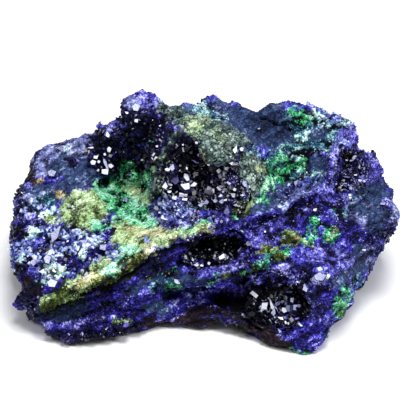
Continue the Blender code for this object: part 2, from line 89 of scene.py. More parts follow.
# ---- what the surface is made of: colours from its darkest to its palest grain, roughness -----------------
KINDS = {
    "velvet": (((0.0, (0.001, 0.001, 0.006)), (0.22, (0.004, 0.003, 0.05)), (0.48, (0.020, 0.013, 0.24)),
                (0.75, (0.10, 0.09, 0.62)), (1.0, (0.60, 0.62, 0.96))), 0.4),
    "violet": (((0.0, (0.004, 0.004, 0.03)), (0.3, (0.035, 0.03, 0.25)), (0.6, (0.18, 0.17, 0.66)),
                (1.0, (0.76, 0.78, 0.97))), 0.45),
    "dusk": (((0.0, (0.001, 0.001, 0.004)), (0.5, (0.007, 0.006, 0.045)), (0.8, (0.05, 0.045, 0.26)),
              (1.0, (0.42, 0.40, 0.72))), 0.2),
    "dark": (((0.0, (0.001, 0.001, 0.002)), (0.6, (0.003, 0.003, 0.014)), (0.85, (0.014, 0.012, 0.1)),
              (1.0, (0.16, 0.16, 0.5))), 0.16),
    # near black: painted shade in pits, clefts and the recesses below ledges
    "pit": (((0.0, (0.0005, 0.0005, 0.001)), (0.6, (0.002, 0.002, 0.007)),
             (1.0, (0.012, 0.012, 0.045))), 0.85),
    "frost": (((0.0, (0.002, 0.003, 0.03)), (0.25, (0.015, 0.02, 0.2)), (0.45, (0.14, 0.19, 0.54)),
               (0.65, (0.52, 0.64, 0.86)), (1.0, (0.92, 0.96, 0.98))), 0.35),
    "rime": (((0.0, (0.01, 0.04, 0.08)), (0.25, (0.14, 0.34, 0.38)), (0.55, (0.58, 0.84, 0.76)),
              (1.0, (0.96, 1.0, 0.98))), 0.45),
    "slate": (((0.0, (0.003, 0.005, 0.016)), (0.45, (0.019, 0.035, 0.098)), (0.8, (0.062, 0.10, 0.235)),
               (1.0, (0.36, 0.45, 0.66))), 0.6),
    "mist": (((0.0, (0.008, 0.008, 0.05)), (0.3, (0.06, 0.07, 0.22)), (0.65, (0.24, 0.27, 0.56)),
              (1.0, (0.74, 0.78, 0.94))), 0.6),
    "teal": (((0.0, (0.002, 0.012, 0.03)), (0.3, (0.01, 0.04, 0.1)), (0.55, (0.06, 0.2, 0.3)),
              (0.8, (0.42, 0.72, 0.68)), (1.0, (0.9, 0.98, 0.94))), 0.45),
    "green": (((0.0, (0.001, 0.010, 0.004)), (0.25, (0.004, 0.05, 0.02)), (0.5, (0.02, 0.26, 0.10)),
               (0.75, (0.14, 0.64, 0.30)), (1.0, (0.76, 0.97, 0.78))), 0.42),
    "mint": (((0.0, (0.004, 0.05, 0.03)), (0.3, (0.05, 0.36, 0.2)), (0.65, (0.36, 0.82, 0.55)),
              (1.0, (0.86, 0.99, 0.9))), 0.6),
    "olive": (((0.0, (0.012, 0.018, 0.006)), (0.25, (0.10, 0.15, 0.05)), (0.5, (0.31, 0.48, 0.20)),
               (1.0, (0.84, 0.95, 0.68))), 0.8),
    "moss": (((0.0, (0.003, 0.005, 0.001)), (0.4, (0.028, 0.042, 0.008)), (0.7, (0.12, 0.15, 0.035)),
              (1.0, (0.5, 0.55, 0.22))), 0.85),
    "lichen": (((0.0, (0.01, 0.03, 0.03)), (0.3, (0.11, 0.18, 0.14)), (0.6, (0.30, 0.43, 0.29)),
                (1.0, (0.64, 0.78, 0.57))), 0.85),
    "sage": (((0.0, (0.006, 0.016, 0.018)), (0.3, (0.07, 0.12, 0.12)), (0.65, (0.22, 0.32, 0.29)),
              (1.0, (0.54, 0.64, 0.58))), 0.85),
    "ochre": (((0.0, (0.02, 0.014, 0.004)), (0.4, (0.22, 0.17, 0.06)), (1.0, (0.76, 0.68, 0.38))), 0.75),
    "cream": (((0.0, (0.06, 0.07, 0.02)), (0.4, (0.48, 0.50, 0.24)), (1.0, (0.95, 0.93, 0.70))), 0.8),
    "brown": (((0.0, (0.001, 0.001, 0.002)), (0.6, (0.010, 0.006, 0.012)),
               (1.0, (0.055, 0.028, 0.04))), 0.6),
}

# ---- where each kind shows on the display side: kind, across, up, half wide, half high, turn in degrees ---
# Painted in this order over velvet; the pit patches are painted shade.
PATCHES = (
    # the lobe at the upper left, and the left edge
    ("mist", -28, 41, 8, 4.6, 16),
    ("slate", -26, 36.6, 5.2, 3.6, 0),
    ("mist", -33.4, 38.6, 2.6, 2.2, 0),
    ("brown", -34.6, 36.4, 1.0, 2.2, 0),
    ("ochre", -32.8, 35.2, 1.1, 0.4, 10),
    ("rime", -27.6, 41.4, 0.9, 0.5, 0),
    ("slate", -33, 32, 4.2, 2.4, 0),
    ("mist", -34.2, 31.6, 2.2, 0.9, 10),
    ("teal", -31.8, 30.6, 2.2, 1.3, 0),
    ("frost", -34.0, 29.2, 2.2, 1.2, 0),
    ("rime", -31.4, 28.4, 1.8, 0.8, 0),
    ("velvet", -32.0, 29.8, 1.0, 0.6, 0),
    ("dark", -37, 31, 1.1, 3.6, 0),
    ("velvet", -30.6, 35.2, 1.6, 0.7, 0),
    ("ochre", -28.4, 32.3, 1.5, 0.7, -15),
    ("dark", -26.2, 38.8, 1.1, 0.9, 0),
    ("velvet", -21, 43.3, 1.4, 0.5, 0),
    # the cave and the peak
    ("dark", -18.5, 41, 5.0, 4.8, 10),
    ("dark", -11, 42.5, 6.5, 5.5, 0),
    ("violet", -13.2, 51.2, 3.4, 1.0, -8),
    ("dusk", -13.4, 49.2, 3.6, 1.8, 0),
    ("mist", -13.6, 50.6, 2.8, 0.9, -10),
    ("dark", -11.4, 49.6, 0.9, 0.7, 0),
    ("teal", -9.8, 50.4, 1.4, 0.6, -20),
    ("dark", -14, 47.4, 3, 1.8, 0),
    ("dusk", -16.4, 48.6, 0.8, 1.4, 0),
    ("violet", -8.5, 50, 4.2, 1.0, -14),
    ("violet", -18, 45.4, 2.6, 0.7, 25),
    ("green", -13.5, 36.6, 4.0, 2.4, 0),
    ("dark", -15.4, 35.6, 1.3, 1.2, 0),
    ("dark", -11.8, 38.5, 1.5, 1.2, 0),
    # the slope of malachite
    ("green", -18, 32.4, 4.2, 3.6, 0),
    ("green", -13, 29.8, 5.4, 4.6, 0),
    ("mint", -13.4, 31.4, 1.4, 2.4, -20),
    ("olive", -14.0, 32.8, 1.5, 1.0, 0),
    ("olive", -11.6, 31.0, 0.7, 1.2, 10),
    ("pit", -12.4, 33.6, 0.9, 0.5, 20),
    ("mint", -15.4, 35.2, 1.4, 0.8, 0),
    ("moss", -16.6, 34.4, 0.9, 0.6, 0),
    ("mint", -19.5, 33.2, 2.0, 1.6, -10),
    ("mint", -16, 27.6, 2.2, 1.3, 20),
    ("dark", -17, 31.2, 0.9, 0.6, 0),
    ("dark", -18.2, 24.8, 1.1, 0.5, 0),
    # the olive dome
    ("olive", -24, 29.2, 4.3, 3.6, 0),
    ("mint", -20.4, 26.2, 2.4, 0.9, 0),
    ("olive", -16.5, 25.6, 2.2, 1.4, 0),
    ("dark", -26, 30, 0.7, 0.5, 0),
    ("olive", -27.2, 25.7, 1.2, 0.7, -30),
    # the frosted lobe at the left front
    ("frost", -28, 20.8, 10, 4.8, 0),
    ("velvet", -27.5, 19.0, 9.0, 1.1, 12),
    ("velvet", -32.4, 22.8, 1.9, 1.0, 20),
    ("olive", -30.4, 27.4, 2.2, 0.7, -5),
    ("dark", -33, 26.4, 2.4, 0.8, 0),
    ("teal", -34, 24.4, 1.8, 0.9, 0),
    ("dark", -30.8, 21.5, 1.2, 0.6, 0),
    ("dark", -28.2, 20, 2.0, 0.8, -10),
    ("velvet", -22.3, 20.2, 3.4, 1.3, 15),
    ("velvet", -25.5, 17.6, 3.2, 1.1, 20),
    ("velvet", -22.2, 22.6, 1.2, 0.8, 0),
    ("velvet", -19, 21.6, 1.4, 1.4, 0),
    ("rime", -34.3, 24.5, 1.8, 0.8, 20),
    ("rime", -24.9, 21.2, 0.8, 2.0, 0),
    ("rime", -29.9, 17.3, 3.0, 1.3, -5),
    ("rime", -36.6, 19.4, 0.9, 1.2, 0),
    ("rime", -20.6, 22.6, 1.6, 0.7, 0),
    ("rime", -32.0, 14.9, 1.6, 0.6, 20),
    ("dusk", -27.6, 22.6, 0.9, 0.6, 0),
    ("dusk", -33.2, 21.0, 1.4, 0.7, 0),
    ("dark", -37.1, 24.2, 1.2, 1.7, 0),
    ("dark", -37, 17.2, 1.2, 0.8, 0),
    ("brown", -35.4, 14.4, 1.6, 1.0, 0),
    ("dusk", -36, 11.8, 2.2, 1.6, 0),
    ("brown", -33.6, 12.6, 1.2, 1.2, 0),
    ("dusk", -34.2, 8.4, 2.2, 2.0, 0),
    # below the seam, at the left
    ("slate", -27, 8.9, 6.5, 1.7, 6),
    ("dusk", -25, 4.4, 8, 1.5, 4),
    ("brown", -22, 2.8, 6, 0.7, 4),
    ("slate", -19.2, 12.8, 4.2, 1.0, 22),
    ("velvet", -16, 11.2, 7.5, 3.4, 14),
    ("velvet", -20, 7.6, 6, 2.2, 12),
    ("dusk", -24.0, 6.8, 3.6, 0.8, 10),
    ("dusk", -12.6, 9.0, 4.0, 0.6, 16),
    ("slate", -13.6, 13.8, 3.4, 0.9, 28),
    ("dusk", -18.4, 10.2, 3.6, 0.5, 18),
    ("dark", -15.5, 5.3, 3.2, 0.8, 5),
    ("olive", -17, 6.9, 1.9, 0.6, 28),
    # the cream and olive seam
    ("moss", -31.0, 10.2, 2.2, 1.9, 30),
    ("moss", -26.8, 12.8, 4.4, 2.0, 20),
    ("moss", -20.0, 16.2, 4.8, 2.2, 24),
    ("moss", -13.8, 20.0, 3.0, 2.2, 34),
    ("olive", -31.2, 11.4, 1.5, 0.5, 25),
    ("olive", -25.2, 11.8, 4.4, 0.9, 22),
    ("olive", -26.6, 14.6, 2.2, 0.5, 26),
    ("olive", -20.4, 18.6, 2.6, 0.6, 26),
    ("olive", -13.4, 22.4, 4.2, 2.6, 30),
    ("olive", -8, 24.4, 5.4, 2.0, 12),
    ("olive", -2.5, 25.2, 4.2, 1.2, 18),
    ("brown", -19.5, 14.0, 3.6, 0.5, 20),
    ("brown", -12.4, 18.4, 2.2, 0.7, 25),
    ("ochre", -23.9, 14.5, 1.3, 0.7, 20),
    ("cream", -22.9, 15.5, 1.7, 0.8, 20),
    ("mint", -18.9, 16.7, 1.9, 0.9, 28),
    ("mint", -14.8, 20.8, 2.2, 1.2, 48),
    ("moss", -14.8, 16.6, 1.8, 0.8, 30),
    ("mint", -16.4, 18.5, 1.9, 1.1, 38),
    ("moss", -13.0, 19.4, 1.1, 1.2, 30),
    ("ochre", -14.2, 25.2, 1.0, 1.0, 50),
    ("olive", -13.4, 25.6, 1.2, 0.6, 50),
    ("cream", -10.7, 20.9, 1.5, 1.9, 8),
    ("olive", -16.8, 23.8, 1.4, 2.0, 20),
    ("mint", -15.8, 21.6, 1.5, 1.2, 40),
    ("mint", -11.4, 26.6, 2.0, 0.7, 10),
    ("cream", -9.8, 25, 3.0, 1.0, 10),
    ("olive", -7.4, 24.2, 2.2, 0.5, 10),
    ("cream", -6, 23.2, 1.0, 0.5, 10),
    ("mint", -2.9, 25.7, 1.4, 0.9, 15),
    ("green", 0.2, 27.1, 1.4, 0.5, 10),
    ("cream", 0.7, 25.3, 1.1, 0.9, 0),
    # inside the vugs
    ("dark", -0.8, 36.6, 8.8, 7.0, 0),
    ("dark", -3.6, 42.0, 4.4, 3.0, 50),
    ("dark", 3.8, 31.8, 4.6, 2.6, 0),
    ("dark", -5.8, 32.6, 3.0, 1.8, 0),
    ("dusk", -5.6, 35.2, 1.8, 1.6, 0),
    ("dusk", 6.0, 35.4, 1.6, 1.6, 0),
    ("dusk", 1.8, 35.4, 1.4, 1.2, 0),
    ("dusk", 4.4, 30.6, 2.2, 1.6, 0),
    ("dusk", -7.4, 30.8, 1.6, 1.2, 0),
    ("dark", 2.0, 21.5, 6.2, 2.4, 0),
    ("dark", -3.0, 19.8, 3.4, 1.2, 25),
    ("dark", 12.6, 9.6, 8.6, 4.2, 0),
    ("dark", 19.4, 14.4, 1.8, 2.6, 0),
    ("dusk", 16.6, 9.6, 3.0, 2.6, 0),
    ("violet", 29.8, 36.4, 4.2, 4.8, -10),
    ("velvet", 29.4, 37.4, 2.8, 3.2, -10),
    ("dark", 28.4, 39.6, 1.3, 1.8, -10),
    ("dusk", 30.6, 37.6, 1.6, 1.6, -10),
    ("dark", 26.6, 34.8, 0.9, 2.0, -20),
    ("dusk", 27.6, 34.2, 1.8, 2.0, -10),
    ("dark", 27.0, 33.6, 0.8, 1.2, -10),
    ("violet", 30.8, 34.0, 2.2, 0.8, 20),
    ("velvet", 30.8, 38.2, 1.2, 1.0, 0),
    ("dusk", 32.0, 37.0, 0.9, 1.6, 0),
    # the crusts of the boss
    ("sage", -5.8, 48.6, 3.6, 1.8, -15),
    ("slate", 4.6, 47.2, 3.4, 2.0, -28),
    ("teal", 1.8, 48.9, 5.4, 1.5, -18),
    ("mist", 4.2, 48.8, 2.4, 0.9, -28),
    ("teal", 6.2, 46.2, 3.4, 1.3, -38),
    ("slate", 3.4, 50.4, 1.6, 0.8, 0),
    ("lichen", -0.3, 46.2, 4.4, 2.3, -14),
    ("sage", 3.2, 43.2, 4.4, 2.6, -34),
    ("lichen", 2.8, 44.8, 1.2, 1.6, 30),
    ("sage", 7.0, 43.6, 2.6, 1.0, -38),
    ("olive", -1.8, 46.4, 1.6, 0.9, -20),
    ("sage", 3, 40.6, 3.6, 2.2, -8),
    ("ochre", 0.2, 39.6, 0.7, 0.5, 0),
    ("sage", 9.8, 36.6, 2.4, 4.4, 14),
    ("olive", 11.4, 37.4, 0.8, 1.4, 8),
    ("ochre", 11.6, 37.6, 0.5, 0.8, 8),
    ("teal", 10, 41.6, 3.6, 0.45, -38),
    ("dark", 8.3, 41.4, 2.2, 0.5, -38),
    ("lichen", -9.4, 36.4, 0.7, 3.6, -8),
    ("dark", -6.8, 44.6, 1.5, 2.0, 30),
    # the foot of the boss
    ("violet", -5.2, 28.4, 5.4, 2.6, 0),
    ("mist", -8.0, 50.2, 1.8, 0.6, -15),
    ("frost", -5.6, 28.8, 4.4, 1.4, 0),
    ("frost", -8.6, 30.4, 1.4, 2.2, 0),
    ("pit", -1.5, 27.9, 1.2, 0.6, 0),
    ("teal", -0.8, 29.8, 1.6, 0.8, 0),
    ("violet", 2.8, 28.2, 1.6, 1.6, 0),
    ("moss", 7.6, 28.8, 2.6, 1.8, 20),
    ("sage", 9.3, 30.6, 1.2, 0.9, 30),
    ("green", 6.2, 28.2, 1.3, 0.6, 0),
    ("pit", 7.8, 29.0, 0.9, 0.4, 30),
    ("olive", 8.9, 30.4, 0.7, 0.5, 0),
    # the slates at the back
    ("slate", 9, 46.2, 5.5, 4.2, -22),
    ("slate", 15, 45.2, 6.5, 4.6, -16),
    ("slate", 13.5, 49, 3.5, 1.8, 0),
    # the lobe at the upper right
    ("teal", 22.5, 45, 7, 4.2, -10),
    ("green", 20.0, 47.6, 2.2, 1.1, -20),
    ("green", 18.2, 48.9, 1.2, 0.6, 0),
    ("teal", 21.6, 48.4, 1.2, 0.5, -10),
    ("pit", 18.8, 47.2, 1.2, 0.6, 0),
    ("rime", 22.4, 48.2, 1.6, 0.8, -10),
    ("frost", 25.4, 47.6, 2.0, 1.0, -20),
    ("rime", 28.4, 46.4, 1.8, 0.8, -30),
    ("rime", 20.0, 44.2, 1.8, 0.7, 10),
    ("rime", 22.4, 41.8, 2.6, 0.8, -10),
    ("slate", 23.6, 44.4, 2.0, 1.3, 0),
    ("slate", 16.5, 44.5, 2.0, 2.0, 0),
    ("teal", 21, 42, 4.4, 1.5, 0),
    ("violet", 29.2, 44.2, 2.3, 2.0, -20),
    # the green band and the ledge below it
    ("green", 16.5, 38.2, 5.0, 3.2, 28),
    ("green", 13.4, 34.2, 2.6, 2.6, 50),
    ("green", 12, 31.2, 1.8, 1.4, 0),
    ("mint", 13.2, 35.4, 1.4, 0.8, 40),
    ("teal", 14.6, 38.6, 1.2, 0.8, 30),
    ("pit", 12.6, 33.2, 0.6, 0.8, 0),
    ("mint", 19.6, 37.4, 1.0, 1.4, -20),
    ("teal", 17.8, 40.9, 2.4, 0.9, 0),
    ("pit", 22.8, 40.2, 1.8, 0.5, 0),
    ("pit", 17.6, 36.6, 1.2, 0.6, 30),
    ("rime", 18.2, 39.4, 0.9, 0.7, 0),
    ("slate", 22.8, 38, 1.7, 2.0, 0),
    ("slate", 16.5, 32.6, 4.6, 2.2, 12),
    ("teal", 20.4, 35.8, 2.8, 1.2, 12),
    ("slate", 21.0, 34.2, 3.0, 1.0, 12),
    ("mist", 18.5, 33.0, 3.6, 1.1, 12),
    ("frost", 20.8, 35.0, 1.2, 0.5, 12),
    ("frost", 17.0, 33.4, 1.8, 0.7, 12),
    ("mist", 16.5, 30.6, 3.0, 0.8, 10),
    ("velvet", 20.8, 31.2, 3.0, 0.9, 16),
    ("frost", 15.4, 30.8, 1.2, 0.5, 10),
    ("slate", 11.6, 29.4, 2.0, 1.3, 0),
    ("velvet", 12.6, 27.8, 3.6, 0.9, 12),
    ("dusk", 5.4, 27.0, 4.0, 0.6, 10),
    ("violet", 18, 28.6, 5.6, 1.2, 18),
    ("dark", 18.8, 28.4, 2.0, 0.7, 18),
    ("pit", 10.4, 25.4, 1.8, 0.6, 14),
    ("violet", 26.3, 38.6, 1.2, 4.8, -12),
    ("violet", 24.3, 33.8, 1.8, 1.8, 0),
    ("violet", 24.8, 31, 2.6, 0.8, 0),
    # the right shoulder and edge
    ("slate", 33.6, 32.4, 4.0, 3.2, -30),
    ("mist", 31.2, 28.0, 4.6, 3.0, -20),
    ("slate", 32.4, 29.2, 2.4, 1.2, -30),
    ("velvet", 29.6, 26.2, 2.6, 1.0, -30),
    ("violet", 33.8, 38.2, 0.9, 3.0, 14),
    ("violet", 31.6, 34.8, 2.6, 0.9, 20),
    ("green", 30.6, 31.8, 1.2, 0.4, 28),
    ("teal", 27.6, 28.8, 1.9, 1.2, 0),
    ("dusk", 35.8, 26.2, 2.6, 3.6, -20),
    ("slate", 34.8, 27.0, 1.4, 2.6, -20),
    ("mist", 38.0, 28.6, 1.0, 1.8, -14),
    ("violet", 36.4, 30.8, 1.2, 0.6, -30),
    ("slate", 31.4, 19.6, 2.4, 3.8, -24),
    ("mist", 33.2, 20.6, 1.4, 2.4, -20),
    ("velvet", 31.6, 22.4, 1.2, 1.0, 0),
    ("teal", 30.6, 15, 0.9, 1.2, 0),
    ("green", 28.8, 12.7, 0.9, 1.3, 0),
    ("green", 27.2, 9.8, 1.4, 2.0, 0),
    ("moss", 27.8, 9.0, 0.6, 0.9, 0),
    # the second ledge
    ("violet", 8.6, 20.6, 1.2, 3.4, -14),
    ("violet", 11.8, 23.4, 3.2, 1.6, 0),
    ("violet", 12, 26, 2.4, 0.8, 12),
    ("violet", 3, 17.6, 6.4, 0.9, 3),
    ("olive", 17.3, 23.6, 2.2, 1.8, 0),
    ("moss", 17.6, 23.4, 1.7, 1.3, 0),
    ("ochre", 18.3, 23.6, 0.8, 0.6, 0),
    ("moss", 21.0, 22.6, 0.8, 0.7, 0),
    ("green", 20, 23, 0.9, 1.1, 0),
    ("green", 21.6, 25, 0.7, 1.3, 0),
    ("green", 25.2, 24.4, 1.7, 1.8, 0),
    ("moss", 24.8, 23.8, 0.8, 0.9, 0),
    ("olive", 25.9, 25.3, 0.8, 0.7, 0),
    ("olive", 20.6, 22.8, 0.8, 0.7, 0),
    ("green", 22.6, 26.8, 1.4, 0.6, 0),
    ("green", 14.6, 20, 2.2, 1.3, 0),
    ("moss", 15.0, 19.7, 1.7, 0.8, 10),
    ("olive", 13.8, 20.9, 1.3, 0.5, 10),
    ("moss", 12, 21, 1.4, 0.8, 0),
    ("green", 1.2, 15.3, 1.8, 0.5, 12),
    ("moss", 5.5, 15.9, 3.2, 0.5, 6),
    ("moss", 10.2, 17.1, 2.4, 0.7, 26),
    ("green", 8.6, 16.4, 1.2, 0.4, 10),
    ("green", 11.6, 18.2, 1.2, 0.5, 30),
    ("green", 16.4, 20.4, 1.0, 0.8, 0),
    ("slate", -8, 16.6, 3.2, 2.8, 0),
    ("velvet", -5.4, 19.2, 2.8, 2.0, 20),
    ("dusk", -9.2, 17.4, 1.3, 1.5, 0),
    ("teal", -7.6, 15.6, 1.2, 0.7, 0),
    ("moss", -6.6, 16.4, 0.8, 0.5, 0),
    ("slate", -3, 14.8, 3.4, 1.2, 5),
    ("green", -6.2, 13.7, 1.8, 0.8, 0),
    ("teal", -9.4, 13.8, 0.7, 1.1, 0),
    ("olive", -11, 15.6, 0.4, 0.7, 0),
    ("green", -6.8, 17, 0.4, 1.0, 0),
    ("slate", -9.5, 9.6, 3.8, 1.6, 5),
    # the lower vug, the slab and the right foot
    ("violet", 14.6, 15.4, 3.6, 1.0, 0),
    ("violet", 15.2, 17.1, 2.4, 1.1, 10),
    ("dark", 19.4, 14.8, 1.6, 2.0, 0),
    ("brown", 4.5, 12.6, 1.6, 0.4, -8),
    ("pit", 6.4, 10.8, 4.4, 1.2, -3),
    ("velvet", -2.4, 10.9, 4.6, 1.5, 6),
    ("dusk", 0.6, 9.8, 1.8, 0.6, 4),
    ("brown", -9.4, 6.4, 4.6, 0.9, 8),
    ("brown", -3.0, 7.2, 3.4, 1.2, 2),
    ("brown", 1.4, 7.6, 6.6, 2.1, -2),
    ("brown", 8.8, 5.7, 5.4, 1.9, -20),
    ("brown", 14.2, 2.9, 4.6, 1.7, -24),
    ("dusk", 4, 7.4, 4.5, 0.5, -6),
    ("moss", 5.4, 5.9, 3.6, 0.3, -12),
    ("dusk", 22.4, 9.8, 1.6, 3.0, 0),
    ("velvet", 19.8, 6.0, 2.6, 1.4, 40),
    ("velvet", 13.6, 15.2, 2.6, 1.0, 0),
    ("violet", 10.2, 14.6, 1.6, 1.0, 30),
    ("mist", 26.2, 17.8, 2.6, 4.2, -15),
    ("violet", 25.8, 18.8, 2.6, 3.0, -15),
    ("slate", 27.6, 15.2, 1.3, 2.2, -20),
    ("violet", 22.4, 20.4, 3.0, 1.2, 10),
    ("mist", 23.2, 15.4, 2.0, 1.3, 20),
    ("frost", 23.4, 15.6, 1.2, 0.7, 10),
    ("teal", 24.9, 3.2, 0.6, 2.0, 0),
    ("green", 19, 0.6, 2.2, 0.5, 0),
)

# where the display side is paler or darker than its kinds alone, as ellipses and how much: partly the
# stone's own tone, partly painted shade (under the seam and ledges, in recesses) and painted light (on tops)
TONE_LIGHT_AND_SHADE = (
    # the left of it, from the top down
    (-24.4, 42.0, 5.0, 2.0, 0, 0.2), (-17, 31.4, 3.0, 2.4, 0, -0.25), (-33.4, 30.8, 3.6, 2.4, 0, -0.15),
    (-24, 30.6, 3.0, 1.6, 0, 0.25), (-24.8, 30.6, 3.0, 1.6, 0, 0.15), (-23.4, 28.0, 2.4, 1.6, 0, 0.15),
    (-26, 26.6, 3.0, 1.4, 20, -0.4), (-34.6, 26.6, 2.6, 1.8, 0, 0.5), (-37.2, 24.2, 1.6, 1.8, 0, -0.7),
    (-14.4, 24.0, 3.0, 1.8, 30, 0.2), (-27.6, 22.0, 7.0, 3.0, 0, 0.15), (-30.4, 21.8, 3.2, 1.0, 10, -0.4),
    (-24.6, 21.2, 1.4, 2.2, 0, 0.3), (-22.4, 20.4, 3.2, 1.0, 15, -0.5), (-29.4, 20.0, 2.4, 1.4, 20, 0.25),
    (-36.6, 19.6, 1.2, 1.4, 0, 0.3), (-13.4, 18.8, 2.4, 0.8, 36, -0.7), (-16.2, 18.8, 2.4, 1.2, 38, 0.25),
    (-25.4, 18.0, 4.4, 1.2, 20, -0.6), (-37.0, 17.0, 1.4, 1.0, 0, -0.6), (-30.2, 16.8, 3.6, 1.6, 0, 0.3),
    (-22.9, 15.7, 1.6, 0.8, 20, 0.5), (-19.6, 14.8, 4.4, 0.8, 26, -0.9), (-19.5, 12.8, 4.6, 1.0, 24, -0.5),
    (-29.6, 12.8, 3.2, 0.9, 26, -0.45), (-26.4, 12.0, 5.4, 0.9, 24, -0.9), (-35.2, 11.8, 2.4, 1.8, 0, -0.6),
    (-14.8, 11.2, 5.0, 1.8, 18, -0.45), (-20.5, 9.8, 5.4, 1.2, 22, -0.1), (-31.0, 9.6, 2.2, 1.0, 28, -0.7),
    (-27.5, 8.8, 6.5, 2.0, 8, -0.7), (-33.4, 8.6, 2.2, 2.0, 0, -0.6), (-13.4, 7.4, 5, 1.6, 12, -0.4),
    (-31, 6.6, 2.0, 1.0, 20, 0.3), (-25.0, 6.4, 5.0, 1.2, 6, 0.4), (-30.2, 4.6, 2.2, 1.8, 0, -0.5),
    (-25, 4.4, 9, 1.7, 4, -0.6), (-20, 3.8, 6.0, 0.9, 4, -0.5),
    # the middle, from the top down
    (4.4, 48.0, 3.0, 1.8, -30, 0.3), (-1.5, 46.8, 3.6, 1.4, -16, 0.1), (3.4, 42.6, 3.6, 3.2, -34, 0.35),
    (10.0, 36.4, 2.4, 4.4, 12, 0.25), (0.2, 30.0, 2.6, 1.4, 8, 1.4), (-9.8, 29.6, 2.0, 3.0, 0, -0.3),
    (5.4, 27.0, 5.0, 1.2, 12, -0.6), (-9.4, 24.6, 3.6, 1.2, 12, 0.3), (-10.7, 21.0, 1.5, 1.9, 8, 0.5),
    (10, 17.6, 6, 0.9, 14, -0.5), (2.0, 17.4, 5.4, 0.8, 6, -0.15), (1.6, 16.4, 4.4, 1.0, 4, -0.25),
    (-8.4, 16.0, 4.4, 3.4, 0, -0.75), (-2.0, 15.2, 3.0, 1.4, 0, -0.3), (-3.4, 11.0, 4.0, 1.7, 10, 0.7),
    (-8, 10.4, 6, 1.8, 5, -0.6), (-8.0, 10.0, 4.0, 1.4, 10, 0.6),
    # the right, from the top down
    (25.2, 47.4, 3.6, 1.2, -25, -0.25), (22.8, 47.2, 1.8, 0.7, -20, 0.4), (27.0, 46.4, 4.4, 0.9, -30, 0.1),
    (14, 46.2, 5.4, 3.2, -20, -0.45), (21.4, 43.0, 3.4, 1.6, -20, -0.15), (20.4, 39.8, 3.4, 0.8, 0, -0.1),
    (12.0, 38.0, 2.0, 3.4, 30, -0.25), (15, 37.4, 3.6, 1.6, 28, -0.3), (33.6, 37.4, 1.4, 3.2, 14, -0.4),
    (32.6, 33.0, 2.6, 0.7, 30, 0.4), (17.4, 32.4, 4.6, 2.2, 14, -0.3), (24.6, 32.4, 3.0, 2.0, 0, -0.25),
    (33.4, 30.6, 3.4, 2.6, -25, -0.2), (17.0, 30.6, 6.0, 0.9, 18, -0.45), (20.6, 29.0, 6.0, 1.6, 18, -0.4),
    (21.8, 26.6, 2.4, 1.0, 20, -0.2), (36.0, 26.2, 2.2, 3.2, -16, -0.4), (13.6, 26.0, 5.0, 2.2, 12, -0.35),
    (21.4, 25.6, 4.4, 2.0, 10, -0.35), (12.5, 25.2, 5.5, 1.0, 14, -0.4), (29.8, 24.4, 3.4, 2.4, -20, -0.2),
    (17.6, 23.6, 2.6, 2.0, 0, -0.45), (30.0, 22.6, 3.4, 4.6, -24, -0.2), (24.0, 21.6, 4.4, 2.0, 0, -0.05),
    (25.6, 21.0, 2.6, 1.4, 0, -0.2), (14.6, 20.4, 3.2, 1.6, 0, -0.3), (23.4, 19.6, 3.6, 2.6, 0, -0.15),
    (29.0, 18.6, 1.8, 3.4, -20, -0.45), (26.2, 17.8, 3.0, 4.4, -15, -0.15), (15.2, 17.2, 2.6, 1.0, 10, 0.5),
    (23.2, 15.5, 2.2, 1.5, 15, 0.55), (24, 12.2, 2.6, 3.0, 0, -0.35), (22.0, 5.0, 4.4, 2.6, -20, -0.35),
)

CRUST_KINDS = ("sage", "lichen", "olive", "moss", "ochre", "teal")

# the kinds that have pits painted dark as shade, and how dark those get
PAINTED_PIT_SHADE = {"green": 1.0, "mint": 0.9, "teal": 0.95, "frost": 0.95, "rime": 0.9, "olive": 0.6, "cream": 0.6,
          "moss": 0.9, "lichen": 0.4, "sage": 0.5, "violet": 0.8, "velvet": 0.7, "mist": 0.7}

